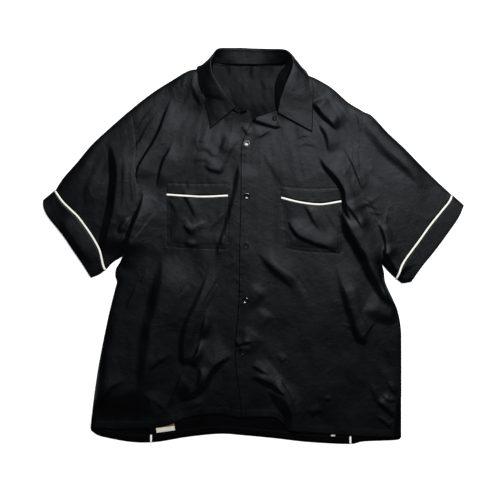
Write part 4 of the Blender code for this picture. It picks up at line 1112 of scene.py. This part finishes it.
# seam (x, y), roll (x, y, z), turn (x, y, z), edge (x, y, z)
COLLAR = (
    ((-38, 266), (-36, 269, 13), (-60, 249, 11.5), (-84, 229, 9)),
    ((-50, 281), (-47, 284, 16), (-68, 269, 13), (-88, 253, 9)),
    ((-63, 298), (-59, 302, 17), (-79, 290, 14), (-95, 276, 9)),
    ((-72, 316), (-70, 319, 18), (-87, 307, 14.5), (-101, 296, 9)),
    ((-77, 332), (-79, 333, 18), (-94, 326, 14), (-106, 316, 9)),
    ((-79, 344), (-82, 346, 17.5), (-96, 341, 13), (-108, 333, 9)),
    ((-79, 353), (-83, 358, 16), (-97, 353, 10.5), (-110, 346, 7.5)),
    ((-75, 357), (-79, 368, 14), (-91, 360, 7), (-104, 350, 3)),
    ((-61, 355), (-69, 383, 12), (-79, 367, 2), (-89, 329, 0.8)),
    ((-36, 354), (-36, 385, 11), (-38, 376, 2), (-48, 309, 0.8)),
    ((1, 353), (-1, 384, 10), (-1, 375, 2), (-1, 303, 0.8)),
    ((32, 354), (32, 383, 12.5), (34, 374, 2), (46, 309, 0.8)),
    ((52, 354), (60, 381, 18), (69, 370, 2), (86, 325, 0.8)),
    ((62, 356), (72, 373, 19), (85, 359, 7), (98, 344, 3)),
    ((62, 350), (76, 364, 18.5), (91, 351, 10.5), (106, 334, 7.5)),
    ((54, 342), (78, 352, 17.5), (96, 338, 13.5), (113, 322, 9)),
    ((47, 331), (74, 337, 18), (95, 323, 14), (116, 305, 9)),
    ((43, 317), (67, 319, 18), (91, 305, 14), (116, 288, 9)),
    ((42, 301), (60, 301, 17.5), (87, 288, 13.5), (115, 270, 9)),
    ((42, 284), (54, 284, 16), (83, 268, 12.5), (115, 247, 9)),
    ((46, 265), (49, 258, 14), (79, 242, 12), (114, 223, 9)),
)


def tops(*names):
    """Search trees of finished pieces, for laying others on them."""
    bpy.context.view_layer.update()
    graph = bpy.context.evaluated_depsgraph_get()
    return [BVHTree.FromObject(bpy.data.objects[n], graph) for n in names]


def top_at(trees, x, y):
    """The highest face over a plan point of the tables, mm, or None."""
    spot = Vector(metres(x, y, 200))
    hits = [tree.ray_cast(spot, Vector((0, 0, -1)))[0] for tree in trees]
    return max((h.z / MM for h in hits if h is not None), default=None)


def cross(x, y, r):
    """A plan point, and four more r mm to its sides."""
    return [(x + dx * r, y + dy * r)
            for dx, dy in ((0, 0), (-1, 0), (1, 0), (0, -1), (0, 1))]


LEAF_CREASE = ((-98, 291), (-42, 280))   # where the left leaf is bent
ALONG, ACROSS = 260, 50      # mesh steps of the collar
STAND = 14                   # of these, from the seam to the roll
COLLAR_CELL = (0.0019, 0.0016)       # one step along and across the cloth, m
NECK_FLOOR = 4.6             # height of the neck where no cloth is found, mm
COLLAR_GAP = 0.35            # between the collar and the cloth below it, mm


def leaf_form(x, y, j):
    """Small form of the collar, mm: gathers on the stand, soft dents on the
    leaves, and the bend across the left one."""
    share = j / ACROSS
    stand = smooth((0.36 - share) / 0.1) * smooth(share / 0.1)
    form = stand * 0.8 * noise_at(x * 0.7, y * 0.4, 4.7, 14)
    leaf = smooth((share - 0.36) / 0.2)
    turned = smooth((share - 0.1) / 0.2)
    form += leaf * (0.9 * noise_at(x, y, 2.9, 34) + 0.3 * noise_at(x, y, 5.5, 13))
    (ax, ay), (bx, by) = LEAF_CREASE
    over = y - (ay + (by - ay) * (x - ax) / (bx - ax))
    bend = 2.6 * (1 - np.exp(-np.clip(over, 0, None) * 0.26 / 2.6))
    return form + turned * bend * smooth((-45 - x) / 25)


body = tops("yoke_cloth", "front_panel_left", "front_panel_right")
base = [max(top_at(body, *q) or NECK_FLOOR for q in cross(*row[0], 4))
        for row in COLLAR]
rows = [line([(*row[0], b + 0.4) for row, b in zip(COLLAR, base)], ALONG)]
rows += [line([row[k] for row in COLLAR], ALONG) for k in (1, 2, 3)]
rows.insert(1, 0.24 * rows[0] + 0.76 * rows[1])     # keeps the stand straight
mid = np.zeros((ALONG + 1, ACROSS + 1, 3))
for i in range(ALONG + 1):
    whole = line([r[i] for r in rows], 300)
    roll = np.argmin(np.linalg.norm(whole - rows[2][i], axis=1))
    mid[i] = np.vstack([resample(whole[:roll + 1], STAND)[:-1],
                        resample(whole[roll:], ACROSS - STAND)])
    mid[i, :, 2] += leaf_form(*mid[i, :, :2].T, np.arange(ACROSS + 1))
    for j, (x, y, z) in enumerate(mid[i]):
        found = [top_at(body, *q) for q in cross(x, y, 3)]
        found = [h for h in found if h is not None]
        low = COLLAR_WALL / 2
        # the fall behind the neck lies under the yoke, the rest over cloth,
        # and the first three steps are drawn into the neck seam
        if found and not (j > ACROSS / 4 and z < 4):
            sewn_in = max(0, 1.3 - 0.45 * j)
            low = max(found) + COLLAR_WALL / 2 + COLLAR_GAP - sewn_in
        mid[i, j, 2] = max(z, low)
bm = bmesh.new()
uv = bm.loops.layers.uv.verify()
made = bmesh.ops.create_grid(bm, x_segments=ALONG, y_segments=ACROSS,
                             size=0.5)
spot = {}
for v in made["verts"]:
    i, j = round((v.co.x + 0.5) * ALONG), round((v.co.y + 0.5) * ACROSS)
    v.co = metres(*mid[i, j])
    spot[v] = (i * COLLAR_CELL[0], j * COLLAR_CELL[1])
for f in bm.faces:
    for loop in f.loops:
        loop[uv].uv = spot[loop.vert]
bmesh.ops.recalc_face_normals(bm, faces=bm.faces)
finish_cloth(bm, "collar_cloth", ["collar"], rayon_collar, (0.46, 0.085),
             area=0.034, held="folded", thick=COLLAR_WALL,
             inside=rayon_collar,
             on=["yoke_cloth", "front_panel_left", "front_panel_right"])

# ---- Buttons ---------------------------------------------------------------
# Cast polyester, black, 11.6 mm wide (9.2 mm at the neck), with a raised rim
# and four holes. Five are sewn to the lap and done up. The neck button is
# sewn on and left open.


def cast_polyester(name, smoothest=0.06, roughest=0.2, coat=0.6,
                   gloss_level=0.5):
    """Polished cast resin: black, mirror smooth, with a few hair scratches; its dull copy,
    which shows no glint, is painted shade for buttons that the light misses."""
    m, t = material(name)
    place = node(t, "ShaderNodeTexCoord").outputs["Object"]
    wear = node(t, "ShaderNodeTexNoise", None,
                {"Vector": place, "Scale": 700.0,
                 "Detail": 5.0}).outputs["Fac"]
    gloss = node(t, "ShaderNodeMapRange", None,
                 {0: wear, 1: 0.35, 2: 0.75, 3: smoothest,
                  4: roughest}).outputs[0]
    bump = node(t, "ShaderNodeBump", None,
                {"Strength": 0.06, "Distance": 0.0001, "Height": wear})
    skin = node(t, "ShaderNodeBsdfPrincipled", None,
                {"Base Color": linear("#0a0a0b"), "Roughness": gloss,
                 "Normal": bump.outputs[0], "IOR": 1.56,
                 "Specular IOR Level": gloss_level,
                 "Coat Weight": coat, "Coat Roughness": 0.05})
    node(t, "ShaderNodeOutputMaterial", None, {0: skin.outputs[0]})
    return m


# name: x, y and radius, mm
BUTTONS = {
    "button_1": (-13, 200, 5.8), "button_2": (-13, 98, 5.8),
    "button_3": (-14, 1, 5.8), "button_4": (-15, -105, 5.8),
    "button_5": (-20, -206, 5.8), "neck_button": (41, 249, 4.6),
}
# share of the radius, height in mm: from the middle out, round the rim
BUTTON_PROFILE = ((0.0, 1.45), (0.5, 1.45), (0.64, 1.6), (0.76, 2.1),
                  (0.88, 2.3), (0.96, 2.1), (1.0, 1.6), (0.97, 0.9),
                  (0.88, 0.3), (0.7, 0.0), (0.0, 0.0))
HOLES = (0.26, 0.11)         # distance from the middle and radius, as shares
SHANK = 0.25                 # thread under a button, mm
resin = cast_polyester("black_cast_polyester")
# the neck button and two others lie where the light gives them no glint, so they get a
# dull copy of the resin: painted shade
resin_painted_shade = cast_polyester("black_cast_polyester_dulled_as_shade", smoothest=0.35,
                            roughest=0.5, coat=0.0, gloss_level=0.07)
SHADED_BUTTONS = ("button_3", "button_5", "neck_button")
trees = tops("front_panel_right")


def lathe(bm, profile, radius, steps=40):
    """Spin a profile of (share of radius, height) about the z axis."""
    pts = [bm.verts.new((r * radius * MM, 0, z * MM)) for r, z in profile]
    edges = [bm.edges.new(pair) for pair in zip(pts, pts[1:])]
    bmesh.ops.spin(bm, geom=pts + edges, cent=(0, 0, 0), axis=(0, 0, 1),
                   angle=2 * math.pi, steps=steps, use_merge=True)
    bmesh.ops.remove_doubles(bm, verts=bm.verts, dist=1e-6)
    bmesh.ops.recalc_face_normals(bm, faces=bm.faces)


button_places = {}
for name, (x, y, radius) in BUTTONS.items():
    z = {(dx, dy): top_at(trees, x + dx * radius, y + dy * radius)
         for dx in (-1, 0, 1) for dy in (-1, 0, 1)}
    tilt_x = (z[1, 0] - z[-1, 0]) / (2 * radius)
    tilt_y = (z[0, 1] - z[0, -1]) / (2 * radius)
    seat = max(h - radius * (dx * tilt_x + dy * tilt_y)
               for (dx, dy), h in z.items()) + SHANK
    up = Vector((-tilt_x, -tilt_y, 1)).normalized()
    place = (Matrix.Translation(metres(x, y, seat))
             @ up.to_track_quat("Z", "Y").to_matrix().to_4x4())
    button_places[name] = place
    bm = bmesh.new()
    lathe(bm, BUTTON_PROFILE, radius)
    mesh = bpy.data.meshes.new(name)
    bm.to_mesh(mesh)
    bm.free()
    disc = add_object(name, mesh)
    drill = bmesh.new()
    away, hole = (share * radius * MM for share in HOLES)
    for k in range(4):
        turn = math.pi / 4 + k * math.pi / 2
        at = Matrix.Translation((away * math.cos(turn),
                                 away * math.sin(turn), MM))
        bmesh.ops.create_cone(drill, cap_ends=True, segments=16,
                              radius1=hole, radius2=hole, depth=4 * MM,
                              matrix=at)
    holes = bpy.data.meshes.new(name + "_holes")
    drill.to_mesh(holes)
    drill.free()
    cutter = add_object(name + "_holes", holes)
    cut_out = disc.modifiers.new("holes", "BOOLEAN")
    cut_out.object = cutter
    bpy.context.view_layer.update()
    graph = bpy.context.evaluated_depsgraph_get()
    shape = bpy.data.meshes.new_from_object(disc.evaluated_get(graph))
    for o in (disc, cutter):
        bpy.data.objects.remove(o)
    bm = bmesh.new()
    bm.from_mesh(shape)
    bm.transform(place)
    # painted shade: the buttons that the light misses get the dull copy of the resin
    piece = finish_piece(bm, name + "_disc", [name],
                         resin_painted_shade if name in SHADED_BUTTONS else resin)
    piece.data.set_sharp_from_angle(angle=math.radians(40))

# ---- Topstitching ----------------------------------------------------------
# Black polyester thread, 2.4 mm of each stitch on top, as a small bar that
# sinks into the cloth: lap, vent, collar, pockets, yoke and hems. Two bars
# of thread hold each button.


def polyester_thread(name):
    """Spun polyester: black with a fine twist that catches the light."""
    m, t = material(name)
    place = node(t, "ShaderNodeTexCoord").outputs["Object"]
    twist = node(t, "ShaderNodeTexNoise", None,
                 {"Vector": place, "Scale": 3000.0,
                  "Detail": 2.0}).outputs["Fac"]
    bump = node(t, "ShaderNodeBump", None,
                {"Strength": 0.3, "Distance": 0.0001, "Height": twist})
    skin = node(t, "ShaderNodeBsdfPrincipled", None,
                {"Base Color": linear("#050506"), "Roughness": 0.5,
                 "Specular IOR Level": 0.25, "Normal": bump.outputs[0]})
    node(t, "ShaderNodeOutputMaterial", None, {0: skin.outputs[0]})
    return m


STITCH = 3.1                 # from one stitch to the next, mm
THREAD = (1.2, 0.28, 0.2)    # half length, width and height of a stitch, mm


def stitch_row(bm, path):
    """Stitches along a path of (x, y, z) on the cloth's face, mm."""
    path = resample(path, step=STITCH)
    row = bmesh.new()
    for a, b in zip(path, path[1:]):
        middle = Vector((a + b) / 2 - (*MIDDLE, 0)) * MM
        turn = Vector(b - a).to_track_quat("X", "Z").to_matrix().to_4x4()
        bmesh.ops.create_uvsphere(
            row, u_segments=6, v_segments=4, radius=MM,
            matrix=Matrix.Translation(middle) @ turn @ Matrix.Diagonal((*THREAD, 1)))
    mesh = bpy.data.meshes.new("row")
    row.to_mesh(mesh)
    row.free()
    bm.from_mesh(mesh)
    bpy.data.meshes.remove(mesh)


def on_face(run, height, thick=CLOTH):
    """A plan line raised to the outer face of a sheet."""
    run = resample(run, step=STITCH)
    return np.column_stack([run, height(run) + thick / 2])


thread = polyester_thread("black_polyester_thread")
bm = bmesh.new()
stitch_row(bm, on_face(LAP_STITCH[4:-2], front_right_height) + (0, 0, 0.25))
for side in ("left", "right"):
    stitch_row(bm, on_face(hem_row[side][4:-4], front_height[side]))
    stitch_row(bm, on_face(yoke_seam[side][2:-2] + (0, 2), upper_height))
stitch_row(bm, on_face(back_hem[6:-6] + (0, HEM_ROW), back_height))
stitch_row(bm, on_face(vent[2:-2] - (EDGE_ROW, 0), front_right_height))
finish_piece(bm, "stitches_body", [], thread)

bm = bmesh.new()
for side in ("left", "right"):
    top, foot = (line(pocket_rows[side][k], 40) for k in ("top", "foot"))
    for k in POCKET_STITCH:
        for i, inwards in ((0, k), (-1, -k)):
            run = np.array([foot[i] + (inwards, k),
                            top[i] + (inwards, -POCKET_STITCH[0])])
            stitch_row(bm, on_face(run, on_pocket(side, 0.1)))
        stitch_row(bm, on_face(foot[2:-2] + (0, k), on_pocket(side)))
    stitch_row(bm, on_face(top[1:-1] - (0, POCKET_STITCH[0]),
                           on_pocket(side, 0.2)))
finish_piece(bm, "stitches_pockets", [], thread)

bm = bmesh.new()
lift_out = np.array((0, 0, COLLAR_WALL / 2 + 0.05))
inside_edge = []
for i in range(ALONG + 1):
    back_in = mid[i, ::-1]
    inside_edge.append([np.interp(EDGE_ROW, so_far(back_in), back_in[:, k])
                        for k in range(3)])
inside_edge = np.array(inside_edge)
on_chest = inside_edge[:, 2] > 6.5       # the points, mm above the table
half = ALONG // 2
for part in (slice(3, half), slice(half, ALONG - 2)):
    stitch_row(bm, inside_edge[part][on_chest[part]] + lift_out)
for i in (3, ALONG - 3):
    stitch_row(bm, mid[i, STAND + 2:ACROSS - 2] + lift_out)
finish_piece(bm, "stitches_collar", [], thread)

BAR_OFF, BAR_LONG = 0.18, 0.3        # off the middle and half long, as shares
bm = bmesh.new()
for name, place in button_places.items():
    radius = BUTTONS[name][2]
    for k in (-1, 1):
        at = (Matrix.Translation((0, k * radius * BAR_OFF * MM, 1.6 * MM))
              @ Matrix.Diagonal((radius * BAR_LONG, 0.5, 0.35, 1)))
        bmesh.ops.create_uvsphere(bm, u_segments=10, v_segments=6, radius=MM,
                                  matrix=place @ at)
finish_piece(bm, "button_threads", [], thread)

# ---- Labels ----------------------------------------------------------------
# A folded black satin label under the back of the collar, a white care
# label and a tiny white size tag at the hem. All of them are bare.
rayon_label = black_rayon("black_satin_label", rough=0.45,
                          gloss_level=0.07)
nylon = cream_cotton("white_woven_label", "#c9c5b8", "#dbd8ce")
nylon_tan = cream_cotton("white_woven_label_with_tan_edge", "#c9c5b8",
                         "#dbd8ce", tan_above=0.0088)
LEAST = 0.01                 # least width given as a sheet's flat size, m


def on_back(p):
    """The height of a label on the hem, mm."""
    return under_height(p) + 1.3


# name: corners, mesh steps, height, cloth, its thickness, slot, lies on
LABELS = {
    "neck_label": (((-26, 309), (48, 309), (48, 327), (-26, 327)), (36, 10),
                   lambda p: yoke_under(p) + 0.75, rayon_label, 0.35,
                   "neck_label", "yoke_cloth"),
    "care_label": (((-189, -363), (-153, -358), (-157, -323), (-192, -327)),
                   (14, 14), on_back, nylon_tan, 0.35, "white_label",
                   "back_panel_centre"),
    "size_tag": (((151, -370), (159, -370), (159, -346), (151, -346)),
                 (14, 14), on_back, nylon, 0.5, "white_label",
                 "back_panel_centre"),
}
for name, (corners, (nu, nv), height, finish, thick, slot,
           under) in LABELS.items():
    a, b, c, d = corners
    bm = panel(bmesh.new(), line([a, b], nu), line([b, c], nv),
               line([d, c], nu), line([a, d], nv), height)
    wide, tall = math.dist(a, b) * MM, math.dist(b, c) * MM
    narrow = wide < LEAST
    finish_cloth(bm, name + "_cloth", [name], finish,
                 (LEAST if narrow else wide, tall),
                 area=wide * tall if narrow else None, thick=thick,
                 inside=finish, slot=slot, on=[under],
                 crisp=[] if narrow else [np.array((*corners, a), float)])

# ---- Floor, light and camera -----------------------------------------------
# A white table seen from straight above, with one large soft light high
# on the upper right. The surround is dim overhead and pale low down, so
# that the cloth shines softly from the sides too.
FIELD = 0.975                # width that the camera sees, m
LENS = 85.0                  # mm
SENSOR = 36.0                # mm
TABLE = 6.0                  # half the table's width, m
OVERHEAD, LOW_DOWN = 0.012, 0.5      # strength of the surround
WINDOW = (0.32, 0.85, 1.9)   # middle of the light, m
WINDOW_SIDE = 1.0            # m
WINDOW_POWER = 54            # W
AIM = (0.1, 0.1, 0)          # where it shines, m
OVER = (-0.00686, -0.00858)  # what the camera is straight above, m

bm = bmesh.new()
bmesh.ops.create_grid(bm, x_segments=1, y_segments=1, size=TABLE)
mesh = bpy.data.meshes.new("table")
bm.to_mesh(mesh)
bm.free()
m, t = material("white_paper")
paper = node(t, "ShaderNodeBsdfPrincipled", None,
             {"Base Color": linear("#fbfbfb"), "Roughness": 0.9,
              "Emission Color": linear("#ffffff"),
              "Emission Strength": 0.45})
node(t, "ShaderNodeOutputMaterial", None, {0: paper.outputs[0]})
mesh.materials.append(m)
floor = add_object("floor", mesh)
floor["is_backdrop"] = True

bpy.context.scene.view_settings.view_transform = "Standard"
world = bpy.data.worlds.new("studio")
bpy.context.scene.world = world
world.use_nodes = True
t = world.node_tree
way = node(t, "ShaderNodeTexCoord").outputs["Generated"]
up = node(t, "ShaderNodeSeparateXYZ", None, {0: way}).outputs[2]
dim = node(t, "ShaderNodeMapRange", {"interpolation_type": "SMOOTHSTEP"},
           {0: up, 1: 0.0, 2: 0.5, 3: LOW_DOWN, 4: OVERHEAD}).outputs[0]
t.nodes["Background"].inputs[0].default_value = (1, 1, 1, 1)
t.links.new(dim, t.nodes["Background"].inputs[1])

light = bpy.data.lights.new("window", "AREA")
light.shape = "RECTANGLE"
light.size = WINDOW_SIDE
light.size_y = WINDOW_SIDE
light.energy = WINDOW_POWER
lamp = add_object("window", light)
lamp.location = WINDOW
lamp.rotation_euler = (Vector(AIM) - Vector(WINDOW)).to_track_quat(
    "-Z", "Y").to_euler()
lamp.visible_camera = False

camera = bpy.data.cameras.new("camera")
camera.lens = LENS
camera.sensor_width = SENSOR
camera.clip_end = 20
eye = add_object("camera", camera)
eye.location = (*OVER, FIELD / 2 / (SENSOR / 2 / LENS))
bpy.context.scene.camera = eye

low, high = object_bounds()
